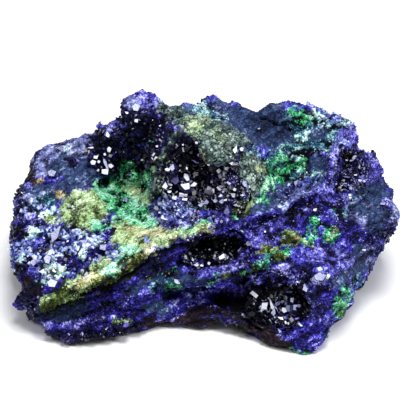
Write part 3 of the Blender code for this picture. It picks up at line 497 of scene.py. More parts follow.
# ---- crystals that grow on each kind: piece, forms, sizes, number per square mm, lean, height -------------
GROWTH = {
    "velvet": ("blue_crystals", ("nugget", "chip"), (0.2, 0.46), 7.0, 0.6, (0.4, 0.8)),
    "violet": ("lavender_crystals", ("nugget", "chip"), (0.22, 0.55), 6.0, 0.7, (0.4, 0.85)),
    "mist": ("lavender_crystals", ("nugget", "chip"), (0.2, 0.46), 4.0, 0.6, (0.4, 0.75)),
    "slate": ("lavender_crystals", ("chip",), (0.18, 0.36), 1.6, 0.6, (0.3, 0.6)),
    "frost": ("frosted_crystals", ("block", "chip"), (0.32, 1.3), 3.2, 0.9, (0.6, 1.1)),
    "rime": ("frosted_crystals", ("nugget", "block"), (0.24, 0.7), 4.4, 0.9, (0.5, 1.0)),
    "teal": ("frosted_crystals", ("nugget", "chip"), (0.22, 0.56), 5.0, 0.8, (0.5, 1.0)),
    "dusk": ("dark_crystals", ("block", "chip"), (0.3, 0.9), 3.0, 0.7, (0.4, 0.9)),
    "dark": ("dark_crystals", ("block", "prism"), (0.35, 1.2), 2.2, 0.7, (0.4, 0.8)),
    "pit": ("dark_crystals", ("chip",), (0.2, 0.4), 1.0, 0.6, (0.3, 0.6)),
    "brown": ("dark_crystals", ("block",), (0.25, 0.6), 1.4, 0.7, (0.4, 0.8)),
    "green": ("malachite_grains", ("nugget", "chip"), (0.2, 0.52), 6.5, 0.9, (0.5, 1.0)),
    "mint": ("malachite_grains", ("nugget",), (0.18, 0.42), 6.5, 0.9, (0.5, 0.9)),
    "olive": ("crust_crumbs", ("nugget",), (0.18, 0.4), 6.5, 0.9, (0.4, 0.8)),
    "moss": ("crust_crumbs", ("nugget",), (0.18, 0.4), 5.0, 0.9, (0.4, 0.8)),
    "lichen": ("crust_crumbs", ("nugget",), (0.16, 0.3), 4.5, 0.8, (0.3, 0.6)),
    "sage": ("crust_crumbs", ("nugget",), (0.16, 0.28), 2.5, 0.6, (0.3, 0.6)),
    "ochre": ("crust_crumbs", ("nugget",), (0.18, 0.4), 6.0, 0.9, (0.4, 0.8)),
    "cream": ("crust_crumbs", ("nugget",), (0.18, 0.4), 6.0, 0.9, (0.4, 0.7)),
}
# how much of a crystal's tone is its own, and the rest that of the place
TONE_OWN = {"blue_crystals": 0.6, "lavender_crystals": 0.55, "frosted_crystals": 0.6, "dark_crystals": 0.6,
            "malachite_grains": 0.65, "crust_crumbs": 0.75}
HIDDEN_GROWTH = 0.4      # how densely crystals grow on the back and underside, against the display side
# share of the faces given a painted glint: a pale colour that stands in for the lamps' reflection
GLINTS = {"velvet": 0.008, "violet": 0.03, "dusk": 0.04, "dark": 0.045, "frost": 0.10, "rime": 0.05,
          "teal": 0.04, "slate": 0.004, "mist": 0.015, "green": 0.015, "mint": 0.015}

# ---- crystals that stand alone, their outer face to the display side --------------------------------------
# across, up, wide, high, turn in degrees, how pale that face is, painted as a glint
TABLETS = (
    # in the boss's vug
    (-3.8, 33.7, 2.4, 1.9, -20, 0.95), (-3.6, 35.6, 1.0, 1.7, 25, 0.9), (-7.8, 34.3, 1.3, 1.6, 10, 0.85),
    (-6.2, 37.7, 1.2, 1.4, 0, 0.6), (-7.2, 37.0, 1.0, 0.6, 0, 0.7), (-2.2, 34.4, 1.5, 0.8, 20, 0.9),
    (4.9, 37.6, 1.3, 1.0, 0, 1.0), (6.1, 41.1, 0.8, 1.6, -10, 0.95), (7.4, 41.3, 0.8, 0.8, 0, 0.8),
    (4.8, 29.3, 1.4, 2.2, 0, 0.35), (3.4, 31.0, 1.2, 1.2, 0, 0.45), (-7.0, 33.0, 1.0, 0.5, 0, 0.8),
    (-5.8, 31.4, 0.8, 0.7, 0, 0.7), (-4.0, 31.2, 1.1, 0.5, 0, 0.85), (5.8, 32.0, 0.9, 0.7, -30, 0.8),
    (7.7, 32.0, 1.0, 0.6, 0, 0.7), (3.2, 36.0, 1.1, 1.1, 0, 0.45), (-1.8, 39.0, 1.8, 0.5, -25, 0.25),
    (-1.3, 42.8, 0.6, 0.5, 0, 0.7), (-4.1, 42.4, 0.5, 0.5, 0, 0.8), (-8.8, 28.7, 0.9, 0.5, 0, 0.9),
    (-9.0, 30.6, 1.4, 0.8, 30, 0.6), (6.3, 30.3, 0.9, 0.6, 0, 0.7), (-6.0, 35.4, 1.6, 1.6, 0, 0.15),
    # in the cave, on the peak and on the lobe beside it
    (-22.3, 38.4, 1.4, 1.3, 0, 0.6), (-21.5, 39.6, 1.0, 0.7, 0, 0.95), (-21.0, 38.9, 0.8, 0.7, 0, 0.8),
    (-19.6, 38.6, 0.5, 2.4, 20, 0.6), (-18.7, 38.2, 1.1, 0.8, -20, 0.9), (-20.0, 36.7, 1.2, 1.1, 0, 0.7),
    (-19.2, 44.1, 0.8, 1.4, 25, 0.9), (-19.1, 41.4, 0.8, 1.1, 0, 0.85), (-22.6, 41.7, 1.4, 0.4, 0, 0.9),
    (-9.2, 43.2, 0.7, 1.4, -10, 0.5), (-9.2, 41.8, 0.6, 0.5, 0, 0.7), (-21.3, 37.2, 0.6, 0.6, 0, 0.8),
    (-13.6, 49.8, 1.4, 1.3, 0, 0.7), (-15.3, 48.6, 0.9, 0.5, -30, 0.9), (-13.6, 47.1, 0.7, 0.7, 0, 0.8),
    (-8.6, 46.0, 0.6, 0.4, 0, 0.8), (-30.4, 36.6, 1.5, 1.2, 0, 0.5), (-28.7, 41.6, 1.2, 0.8, 0, 0.4),
    # on the frosted lobe
    (-29.5, 24.5, 1.3, 3.2, -25, 0.55), (-31.4, 19.3, 1.3, 1.6, 0, 0.6), (-24.9, 20.8, 0.9, 2.6, -8, 0.9),
    (-24.1, 22.6, 1.2, 1.4, 0, 0.6), (-30.2, 14.9, 1.7, 1.4, 0, 0.8), (-32.2, 17.0, 1.4, 1.2, 0, 0.8),
    (-33.9, 18.6, 1.1, 1.5, 0, 0.5), (-20.2, 21.6, 1.2, 1.1, 0, 0.5), (-28.6, 22.6, 1.4, 0.8, 0, 0.5),
    # in the ledge's vug
    (3.5, 19.7, 1.2, 0.8, 30, 1.0), (-3.6, 19.9, 0.6, 1.1, 20, 0.9), (-2.2, 19.2, 0.5, 1.1, 25, 0.8),
    (-1.6, 18.4, 0.9, 0.7, 0, 0.7), (-0.5, 18.0, 0.7, 0.4, 0, 0.9), (4.3, 22.4, 0.5, 0.6, 0, 0.9),
    (1.0, 21.2, 0.6, 0.4, 0, 0.6), (1.1, 18.6, 0.5, 0.5, 0, 0.9), (7.0, 21.3, 1.2, 0.35, 45, 0.6),
    # in the lower vug and beside it
    (12.2, 9.7, 1.0, 2.3, -8, 0.85), (13.5, 10.4, 0.7, 3.2, 22, 0.9), (13.9, 9.0, 0.8, 1.4, 0, 0.6),
    (16.1, 9.2, 1.2, 0.9, -40, 0.9), (18.3, 9.4, 1.8, 1.8, 0, 0.45), (17.0, 9.9, 1.4, 1.3, 20, 0.55),
    (17.6, 10.9, 0.6, 0.9, 0, 0.9), (15.2, 7.4, 1.6, 0.7, -25, 1.0), (20.1, 13.6, 0.8, 1.5, 20, 0.5),
    (16.9, 12.7, 1.6, 0.5, 0, 0.3), (14.9, 10.8, 1.1, 0.7, 30, 0.35), (16.7, 6.4, 0.5, 0.8, -20, 0.8),
    (19.3, 6.3, 0.9, 0.4, -40, 0.7), (-5.4, 14.8, 1.2, 0.6, -40, 0.6), (23.3, 15.7, 2.0, 1.3, 0, 0.5),
    # in the corner pocket and on the right side
    (35.8, 30.2, 1.2, 0.6, 0, 0.5), (30.4, 36.1, 0.8, 0.4, 0, 0.9), (29.4, 39.3, 1.0, 0.5, 20, 0.5),
    (31.0, 38.0, 0.5, 1.2, 0, 0.5), (32.2, 37.4, 0.6, 0.8, 0, 0.35), (28.3, 34.3, 2.0, 0.35, 0, 0.3),
    (28.6, 35.6, 1.6, 0.35, -10, 0.3), (31.2, 35.1, 0.7, 0.4, -20, 0.6), (29.5, 33.6, 0.6, 0.6, 0, 0.6),
    (22.0, 29.4, 0.7, 0.6, 0, 1.0), (12.1, 24.8, 0.5, 0.5, 0, 0.9), (10.9, 45.5, 0.8, 0.5, 0, 0.5),
    (31.8, 21.2, 0.9, 0.4, 0, 0.7), (24.1, 46.4, 0.7, 0.5, 0, 0.7), (14.0, 28.1, 0.6, 0.5, 0, 0.7),
    # small ones at the right of the boss's vug
    (3.2, 32.3, 1.0, 0.6, 30, 0.8), (5.7, 32.4, 1.1, 0.6, -25, 0.9), (4.3, 31.3, 0.9, 0.5, 10, 0.8),
    (3.0, 33.6, 0.9, 0.45, -40, 0.75), (6.2, 33.4, 0.7, 0.6, 0, 0.7), (0.5, 30.8, 1.0, 0.9, 20, 0.5),
    (-0.9, 30.4, 0.8, 0.8, 0, 0.55), (8.0, 34.6, 0.8, 1.2, 20, 0.5), (2.2, 31.0, 0.8, 0.6, 0, 0.6),
    (5.0, 34.6, 0.8, 0.4, -30, 0.6),
)

# ---- blunt blocks and lumps on the mass: across, up, wide, high, turn, how far they stand out ------------
LUMPS = (
    # dark blocks down the left edge and along the foot
    (-36.6, 24.2, 2.8, 2.8, 8, 1.5), (-36.4, 17.2, 2.6, 1.8, -10, 1.4), (-35.0, 12.0, 3.4, 2.6, -6, 1.6),
    (-33.2, 8.6, 3.0, 3.0, 12, 1.5), (-36.6, 30.6, 2.2, 2.8, 0, 1.0), (-35.8, 35.0, 2.0, 2.6, 0, 0.8),
    (-30.2, 4.8, 3.2, 2.8, -14, 1.6), (-27.4, 3.8, 2.0, 2.2, 16, 1.3), (-24.9, 4.0, 2.0, 1.8, 0, 1.2),
    (-22.0, 4.2, 2.4, 2.2, -12, 1.4), (-19.4, 4.6, 2.2, 1.8, 10, 1.2), (-16.6, 5.2, 2.0, 1.6, 0, 1.0),
    # the lumps of the seam
    (-31.0, 10.6, 2.8, 2.4, 20, 1.1), (-27.0, 13.0, 4.4, 2.4, 22, 1.0), (-22.9, 15.1, 3.4, 2.0, 20, 1.3),
    (-18.6, 16.9, 4.4, 2.0, 28, 1.1), (-15.0, 19.8, 2.8, 3.4, -30, 1.0), (-10.7, 20.9, 2.4, 3.2, 8, 1.4),
    (-14.4, 24.8, 2.8, 2.2, 50, 0.9), (-6.4, 23.9, 3.6, 1.4, 12, 0.8), (-1.8, 25.4, 3.0, 1.2, 14, 0.7),
    # blocks on the right edge, and the pale knob beside the lower vug
    (23.2, 15.4, 3.6, 2.6, 20, 0.9), (36.0, 27.0, 3.6, 4.6, -16, 1.2), (35.2, 23.4, 2.4, 2.4, -10, 1.0),
    (31.2, 14.2, 1.6, 1.8, 0, 0.7), (29.2, 10.6, 1.8, 1.6, 20, 0.7), (28.2, 7.8, 1.8, 1.8, 0, 0.7),
    # big grains on the frosted lobe
    (-29.5, 24.2, 2.0, 3.0, -25, 0.9), (-24.8, 21.0, 1.8, 2.6, -8, 0.9), (-31.4, 19.2, 2.2, 1.8, 0, 0.8),
    (-30.0, 16.6, 3.0, 2.2, 0, 1.0), (-34.0, 21.6, 2.2, 2.4, 0, 0.8), (-27.4, 18.4, 2.0, 1.8, 10, 0.7),
)

# where the broken edge is drawn in: across, up, half wide, half high, depth
TRIMS = (
    (37.0, 19.6, 3.0, 3.6, 2.2), (-39.0, 15.6, 1.6, 3.0, 0.8),
)

# what closes the wide end of the crack in the slate, and the tip above it: outline, nearest, farthest depth
STONES = (
    (((11.4, 47.9), (15.5, 46.9), (19.6, 44.9), (15.2, 46.0), (10.8, 46.8)), -2.3, -7.6),
    (((10.9, 48.8), (13.2, 50.4), (15.0, 48.8), (12.6, 47.6)), -2.4, -6.5),
    (((5.6, 50.2), (8.0, 49.8), (10.2, 48.9), (12.2, 47.4), (11.0, 46.6), (7.0, 47.6)), -2.6, -6.0),
)

# ---- edges and clefts of the display side: how far they stand out, how far that reaches above and below ---
EDGES = (
    # the seam's overhanging edge and the recess below it
    (0.9, 2.2, 0.4, ((-33, 9.4), (-28, 10.6), (-22, 14.4), (-18, 16.2), (-13, 19.4), (-9, 22.6), (-3, 24.2),
                     (1.5, 25.6))),
    (-1.3, 0.5, 1.9, ((-30, 9.2), (-24, 12.2), (-18, 14.6), (-13, 17.8), (-9, 21.2), (-3, 23.0), (2, 24.2))),
    # the edge above the ledge's vug and the ledge to its right
    (1.0, 1.8, 0.4, ((2.0, 25.8), (8, 27.0), (14, 28.6), (20, 31.0), (24, 32.6))),
    (-0.5, 0.5, 1.4, ((8.0, 26.0), (14, 27.6), (19, 29.4), (22, 30.6))),
    # the second ledge
    (0.9, 1.6, 0.5, ((-9, 14.4), (-4, 14.6), (2, 16.2), (8, 17.6), (13, 19.6), (18, 20.4))),
    (-0.5, 0.5, 1.4, ((-8, 12.8), (0, 13.8))),
    (-1.0, 0.5, 1.6, ((2, 14.2), (6, 15.0), (11, 16.4), (14, 17.6))),
    # the lip round the corner pocket
    (0.8, 1.0, 1.0, ((29.4, 42.6), (26.6, 40.2), (25.8, 36.4), (24.2, 33.4), (27.6, 32.0), (32, 33.6),
                     (34.4, 37.0), (33.6, 40.0))),
    # cracks in the slate
    (-1.1, 0.3, 0.35, ((11.2, 48.0), (12.6, 47.2), (14.6, 46.4), (16.2, 46.1), (18.2, 45.2))),
    # between the front lobe and the dome
    (-0.8, 0.8, 0.8, ((-34, 26.6), (-30, 25.4), (-25, 24.8), (-19, 24.6))),
)

# ---- crusts that hang over the boss's vug, as outlines seen on the display side ---------------------------
BOSS_CENTRE = np.array((0.6, 4.0, 25.0))
BOSS_HALF = np.array((12.0, 11.5, 12.0))
OVERHANGS = (
    ((-4.2, 46.0), (-2.4, 47.6), (0.2, 47.9), (3.0, 47.0), (5.6, 45.9), (7.8, 44.4), (9.9, 42.5),
     (8.4, 41.9), (6.8, 42.6), (5.7, 41.8), (5.5, 39.8), (4.2, 38.8), (2.6, 38.5), (1.5, 39.6),
     (0.6, 38.8), (-0.3, 39.6), (-0.7, 40.8), (-1.2, 42.4), (-1.0, 43.4), (-3.0, 44.6)),
    ((7.0, 39.9), (8.3, 41.0), (10.4, 40.4), (12.0, 38.6), (12.6, 36.6), (11.9, 34.4), (10.6, 32.6),
     (9.6, 31.5), (8.7, 32.8), (8.2, 35.0), (7.5, 37.6)),
    ((-5.0, 45.2), (-7.1, 43.1), (-9.0, 39.6), (-9.8, 36.2), (-10.7, 32.0), (-10.8, 29.6),
     (-10.1, 29.6), (-9.9, 32.3), (-9.0, 36.2), (-8.2, 38.9), (-6.4, 42.3), (-4.4, 44.5)),
)
OVERHANG_PROUD = 0.75    # how far the crusts stand proud of the boss
OVERHANG_THICK = 1.7
LONGEST_EDGE = 0.9       # of the crusts' triangles


# ---- noise: each call has a seed of its own, so that no two patterns match -------------------------------
CORNERS = np.array([(i, j, k) for i in (0, 1) for j in (0, 1) for k in (0, 1)])
AROUND = np.array([(i, j, k) for i in (-1, 0, 1) for j in (-1, 0, 1) for k in (-1, 0, 1)])


def scatter(cell, seed):
    """A number from 0 to 1 for each whole-numbered cell of space, the same on every run."""
    mixed = cell[..., 0] * 73856093 ^ cell[..., 1] * 19349663 ^ cell[..., 2] * 83492791 ^ seed * 15485863
    mixed = (mixed ^ mixed >> 15) * 2246822519 & 0xFFFFFFFF
    mixed = (mixed ^ mixed >> 13) * 3266489917 & 0xFFFFFFFF
    return (mixed ^ mixed >> 16) / 0xFFFFFFFF


def noise(points, size, seed=0):
    """Smooth noise from -1 to 1."""
    scaled = points / size + seed * 17.31
    cell = np.floor(scaled).astype(np.int64)
    part = scaled - cell
    ease = part * part * (3 - 2 * part)
    total = np.zeros(len(points))
    for corner in CORNERS:
        share = np.prod(np.where(corner == 1, ease, 1 - ease), axis=1)
        total += share * scatter(cell + corner, seed)
    return total * 2 - 1


def rough_noise(points, size, seed=0, octaves=3):
    """Smooth noise with finer and finer noise over it."""
    total = np.zeros(len(points))
    for octave in range(octaves):
        total += noise(points, size / 2 ** octave, seed + octave * 7) / 2 ** octave
    return total


def cells(points, size, seed=0):
    """How far the nearest and second nearest grain's middles are, in grain sizes, and the grain's number."""
    scaled = points / size
    cell = np.floor(scaled).astype(np.int64)
    nearest = np.full(len(points), 9.0)
    second = np.full(len(points), 9.0)
    own = np.zeros(len(points))
    for step in AROUND:
        there = cell + step
        middle = there + np.stack([scatter(there, seed + axis) for axis in (1, 2, 3)], axis=1)
        distance = np.linalg.norm(middle - scaled, axis=1)
        closer = distance < nearest
        second = np.where(closer, nearest, np.minimum(second, distance))
        own = np.where(closer, scatter(there, seed + 4), own)
        nearest = np.where(closer, distance, nearest)
    return nearest, second, own


def fade(low, high, values):
    """0 up to low, 1 from high on, smooth between; low may be the larger one."""
    part = np.clip((values - low) / (high - low), 0, 1)
    return part * part * (3 - 2 * part)


# ---- places ----------------------------------------------------------------------------------------------
def seen(points):
    """Where points show on the display side: across, up."""
    offset = points - VIEW_MIDDLE
    shrink = (VIEW_DISTANCE - offset @ TO_EYE) / VIEW_DISTANCE
    return VIEW_MIDDLE[0] + offset[:, 0] / shrink, MIDDLE_UP + offset @ UPWARD / shrink


def on_view_plane(across, up):
    """The place at (across, up) on the plane through the middle of the view."""
    return VIEW_MIDDLE + np.array((across - VIEW_MIDDLE[0], 0, 0)) + UPWARD * (up - MIDDLE_UP)


def sight(across, up):
    """The direction from the eye to a place on the display side."""
    return Vector(on_view_plane(across, up) - EYE).normalized()


def landed(tree, table):
    """Where a table's rows land on what the tree holds: places, normals, and the rows' other columns."""
    rows = []
    for across, up, wide, high, turn, last in table:
        place, normal, _, _ = tree.ray_cast(Vector(EYE), sight(across, up))
        if place is not None:
            rows.append((*place, *normal, wide, high, math.radians(turn), last))
    rows = np.array(rows)
    return rows[:, :3], rows[:, 3:6], *rows[:, 6:].T


def patch_distance(across, up, middle_across, middle_up, wide, high, turn=0):
    """How far places are from the middle of an ellipse; 1 is its edge."""
    angle = math.radians(turn)
    x = across - middle_across
    y = up - middle_up
    along = (x * math.cos(angle) + y * math.sin(angle)) / wide
    side = (y * math.cos(angle) - x * math.sin(angle)) / high
    return np.hypot(along, side)


def inside_by(across, up, outline):
    """How far places are inside an outline of the display side; negative outside it."""
    nearest = np.full(len(across), 99.0)
    inside = np.zeros(len(across), bool)
    for (x0, y0), (x1, y1) in zip(outline, (*outline[1:], outline[0])):
        wide, high = x1 - x0, y1 - y0
        part = np.clip(((across - x0) * wide + (up - y0) * high) / (wide * wide + high * high), 0, 1)
        nearest = np.minimum(nearest, np.hypot(across - x0 - part * wide, up - y0 - part * high))
        if high:
            inside ^= ((y0 > up) != (y1 > up)) & (across < wide * (up - y0) / high + x0)
    return np.where(inside, nearest, -nearest)


def display_kinds(points):
    """How much of each kind shows at each point, by the patches of the display side, with ragged edges."""
    across, up = seen(points)
    on_crust = np.max([fade(-0.25, 0.05, inside_by(across, up, outline)) for outline in OVERHANGS], axis=0)
    across = across + rough_noise(points, 3.0, 1) * 0.8 + rough_noise(points, 0.8, 11, 2) * 0.8
    up = up + rough_noise(points, 3.0, 41) * 0.8 + rough_noise(points, 0.8, 51, 2) * 0.6
    shares = {kind: np.zeros(len(points)) for kind in KINDS}
    shares["velvet"] += 1
    for kind, *ellipse in PATCHES:
        cover = fade(1.12, 0.92, patch_distance(across, up, *ellipse))
        for share in shares.values():
            share *= 1 - cover
        shares[kind] += cover
    for kind in KINDS:
        if kind not in CRUST_KINDS:
            moved = shares[kind] * on_crust
            shares[kind] = shares[kind] - moved
            shares["sage"] = shares["sage"] + moved
    return shares


def hidden_kinds(points):
    """The same for the back and the underside, by fields of noise."""
    shares = {kind: np.zeros(len(points)) for kind in KINDS}
    shares["velvet"] += 1
    fields = (
        ("slate", fade(-0.10, 0.05, rough_noise(points, 11, 20))),
        ("violet", fade(0.28, 0.40, rough_noise(points, 7, 23))),
        ("green", fade(0.36, 0.46, rough_noise(points, 9, 26))),
        ("olive", fade(0.52, 0.60, rough_noise(points, 9, 26))),
        ("frost", fade(0.50, 0.62, rough_noise(points, 6, 29))),
        ("dark", fade(0.46, 0.54, rough_noise(points, 6, 32))),
        ("brown", fade(8.0, 4.0, points[:, 2] + rough_noise(points, 5, 35) * 2.5)),
    )
    for kind, cover in fields:
        for share in shares.values():
            share *= 1 - cover
        shares[kind] += cover
    return shares


def pit_shade_places(points):
    """Where the rough kinds have small pits between their grains, painted dark as shade, 0 to 1."""
    return fade(0.24, 0.44, rough_noise(points, 1.5, 120))


def kinds_at(points, normals, lift=0):
    """How much of each kind there is at each point; lift is how far the ledges' edges raise it."""
    front = display_kinds(points)
    pit_shade = pit_shade_places(points)
    # painted shade: the rough kinds' pits and the recesses below the ledges' edges turn near-black
    for kind in KINDS:
        moved = front[kind] * np.maximum(pit_shade * PAINTED_PIT_SHADE.get(kind, 0), fade(-0.35, -1.0, lift))
        front[kind] = front[kind] - moved
        front["pit"] = front["pit"] + moved
    back = hidden_kinds(points)
    shown = fade(-0.28, -0.05, normals @ TO_EYE + noise(points, 3, 40) * 0.12)
    return {kind: front[kind] * shown + back[kind] * (1 - shown) for kind in KINDS}


# ---- meshes ----------------------------------------------------------------------------------------------
def unit(vectors):
    """The same directions, each one unit long."""
    return vectors / np.linalg.norm(vectors, axis=1, keepdims=True)


def numbers(items, field, kind, width=1):
    """One field of all items as an array."""
    found = np.empty(len(items) * width, kind)
    items.foreach_get(field, found)
    return found.reshape(-1, width) if width > 1 else found


def add_object(name, data):
    made = bpy.data.objects.new(name, data)
    bpy.context.scene.collection.objects.link(made)
    return made


def mesh_from(shape, name):
    """The mesh of a finished bmesh."""
    mesh = bpy.data.meshes.new(name)
    shape.to_mesh(mesh)
    shape.free()
    return mesh


def apply_modifiers(obj):
    bpy.context.view_layer.update()
    graph = bpy.context.evaluated_depsgraph_get()
    mesh = bpy.data.meshes.new_from_object(obj.evaluated_get(graph))
    obj.modifiers.clear()
    obj.data = mesh


def refined(node, name, voxel, rounds, grown_on=()):
    """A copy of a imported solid, with the solids grown on it, as one fine, even and softened surface."""
    shape = bmesh.new()
    shape.from_mesh(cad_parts[node].data)
    for mesh in grown_on:
        shape.from_mesh(mesh)
    obj = add_object(name, mesh_from(shape, name))
    remesh = obj.modifiers.new("Remesh", "REMESH")
    remesh.mode = "VOXEL"
    remesh.voxel_size = voxel * MM
    smooth = obj.modifiers.new("Smooth", "SMOOTH")
    smooth.factor = SOFTENING
    smooth.iterations = rounds
    apply_modifiers(obj)
    return obj


def surface(mesh):
    """A mesh's points in millimetres and their normals."""
    mesh.update()
    points = numbers(mesh.vertices, "co", np.float32, 3).astype(float) / MM
    normals = numbers(mesh.vertex_normals, "vector", np.float32, 3).astype(float)
    return points, normals


def set_points(mesh, points):
    mesh.vertices.foreach_set("co", (points * MM).astype(np.float32).ravel())
    mesh.update()


def set_field(mesh, name, values, domain="POINT"):
    field = mesh.attributes.new(name, "FLOAT", domain)
    field.data.foreach_set("value", np.ascontiguousarray(values, np.float32))


def carried_by(meshes):
    """A search tree, in millimetres, of everything that crystals can stand on."""
    points, faces = [], []
    for mesh in meshes:
        start = len(points)
        points += [vertex.co / MM for vertex in mesh.vertices]
        faces += [[start + i for i in face.vertices] for face in mesh.polygons]
    return BVHTree.FromPolygons(points, faces)


class Pile:
    """Many small solids that are joined into one mesh."""

    def __init__(self):
        self.points, self.corners, self.sides = [], [], []
        self.tones, self.glints, self.slots, self.smooth = [], [], [], []
        self.count = 0

    def add(self, points, corners, sides, tones, glints, slots, smooth=False):
        self.points.append(points)
        self.corners.append(corners + self.count)
        self.sides.append(sides)
        self.tones.append(tones)
        self.glints.append(glints)
        self.slots.append(slots)
        self.smooth.append(np.full(len(sides), smooth))
        self.count += len(points)

    def mesh(self, name):
        points = np.concatenate(self.points)
        corners = np.concatenate(self.corners)
        sides = np.concatenate(self.sides)
        made = bpy.data.meshes.new(name)
        made.vertices.add(len(points))
        made.loops.add(len(corners))
        made.polygons.add(len(sides))
        made.vertices.foreach_set("co", (points * MM).astype(np.float32).ravel())
        made.loops.foreach_set("vertex_index", corners.astype(np.int32))
        made.polygons.foreach_set("loop_start", (np.cumsum(sides) - sides).astype(np.int32))
        made.polygons.foreach_set("material_index", np.concatenate(self.slots).astype(np.int32))
        made.polygons.foreach_set("use_smooth", np.concatenate(self.smooth))
        made.update(calc_edges=True)
        set_field(made, "tone", np.concatenate(self.tones))
        set_field(made, "glint", np.concatenate(self.glints), "FACE")
        return made


# ---- forms of crystals, one unit wide and one unit high ---------------------------------------------------
# outlines of columns, and of a blunt knob with its rings: how wide each is and how high it lies
SHARD = ((0.5, -0.12), (0.3, 0.42), (-0.22, 0.5), (-0.5, -0.2), (0.1, -0.5))
SLAB = ((0.46, -0.36), (0.5, 0.3), (-0.3, 0.5), (-0.5, -0.44))
WEDGE = ((0.5, 0.1), (-0.1, 0.5), (-0.5, 0.16), (-0.26, -0.5))
KNOB = ((0.5, -0.3), (0.46, 0.4), (-0.1, 0.5), (-0.5, 0.3), (-0.44, -0.42), (0.1, -0.5))
COLUMN_RINGS = ((1.0, 0), (1.0, 1))
KNOB_RINGS = ((1.0, 0), (1.0, 0.72), (0.74, 1))


def column(outline, rings=COLUMN_RINGS):
    """A column's corners, and its faces as lists of corners, with the top and the foot last."""
    sides = len(outline)
    points = [(x * scale, y * scale, z) for scale, z in rings for x, y in outline]
    last = sides * (len(rings) - 1)
    walls = [(row + i, row + (i + 1) % sides, row + sides + (i + 1) % sides, row + sides + i)
             for row in range(0, last, sides) for i in range(sides)]
    return points, [*walls, tuple(range(last, last + sides)), tuple(reversed(range(sides)))]


def prism(sides):
    """A column with an even outline."""
    angles = [math.tau * i / sides for i in range(sides)]
    return column([(0.5 * math.cos(angle), 0.5 * math.sin(angle)) for angle in angles])


def nugget():
    """A grain with eight faces."""
    points = [(0.5, 0.05, 0.45), (-0.05, 0.5, 0.5), (-0.5, -0.08, 0.4), (0.08, -0.5, 0.55),
              (0.06, -0.04, 1), (0, 0, 0)]
    top = [(i, (i + 1) % 4, 4) for i in range(4)]
    foot = [((i + 1) % 4, i, 5) for i in range(4)]
    return points, [*top, *foot]


FORMS = {"knob": column(KNOB, KNOB_RINGS), "shard": column(SHARD), "slab": column(SLAB),
         "wedge": column(WEDGE), "chip": prism(3), "block": prism(4), "prism": prism(5),
         "column": prism(6), "nugget": nugget()}
TOP_FROM = 0.55          # the corners of a form above this share of its height belong to its end
TAPER = (0.62, 0.98)     # how wide that end is against the foot
ROOTED = 0.22            # the share of a crystal's height that is sunk in what it stands on
NUGGET_SPREAD = 0.12     # how unevenly a nugget's corners lie
FAINTEST_GLINT = 0.15


def grow(pile, form, roots, axes, widths, thicks, heights, dice, slots, glint_share, tones=None, slant=0.35,
         across=None, only_top=False):
    """Adds one crystal of this form for each root.

    Axes point out of the surface, and slant tilts the crystals' ends.
    """
    template, faces = FORMS[form]
    template = np.array(template, float)
    count = len(roots)
    if not count:
        return
    if across is None:
        across = dice.normal(size=(count, 3))
    first = unit(np.cross(axes, across))
    second = np.cross(axes, first)
    top = template[:, 2] > TOP_FROM
    taper = np.where(top[None, :], dice.uniform(*TAPER, (count, 1)), 1)
    x = template[None, :, 0] * taper
    y = template[None, :, 1] * taper
    tilt = dice.uniform(-slant, slant, (count, 2))
    z = template[None, :, 2] + top * (x * tilt[:, :1] + y * tilt[:, 1:])
    if form == "nugget":
        x = x + dice.uniform(-NUGGET_SPREAD, NUGGET_SPREAD, x.shape)
        y = y + dice.uniform(-NUGGET_SPREAD, NUGGET_SPREAD, x.shape)
    points = (roots[:, None] + first[:, None] * (x * widths[:, None])[..., None]
              + second[:, None] * (y * thicks[:, None])[..., None]
              + axes[:, None] * ((z - ROOTED) * heights[:, None])[..., None])
    flat = np.concatenate([np.array(face) for face in faces])
    size = np.array([len(face) for face in faces])
    corners = (flat[None] + np.arange(count)[:, None] * len(template)).ravel()
    sides = np.tile(size, count)
    if tones is None:
        tones = dice.random(count)
    # painted glints: these faces get a pale colour in place of the lamps' reflection
    lit = dice.random(count * len(faces)) < np.repeat(np.broadcast_to(glint_share, count), len(faces))
    glints = lit * dice.uniform(FAINTEST_GLINT, 1, count * len(faces))
    if only_top:
        glints = np.tile([float(face == faces[-2]) for face in faces], count)
    pile.add(points.reshape(-1, 3), corners, sides, np.repeat(tones, len(template)), glints,
             np.repeat(slots, len(faces)))


# ---- materials -------------------------------------------------------------------------------------------
class Wire:
    """An output socket; arithmetic on it adds the nodes."""

    def __init__(self, paint, socket):
        self.paint = paint
        self.socket = socket
        self.is_colour = socket.type in ("RGBA", "VECTOR")

    def __add__(self, other):
        return self.paint.combine("ADD", self, other)

    def __mul__(self, other):
        return self.paint.combine("MULTIPLY", self, other)

    def __sub__(self, other):
        return self.paint.combine("SUBTRACT", self, other)

    def __rsub__(self, other):
        return self.paint.combine("SUBTRACT", other, self)

    __radd__ = __add__
    __rmul__ = __mul__


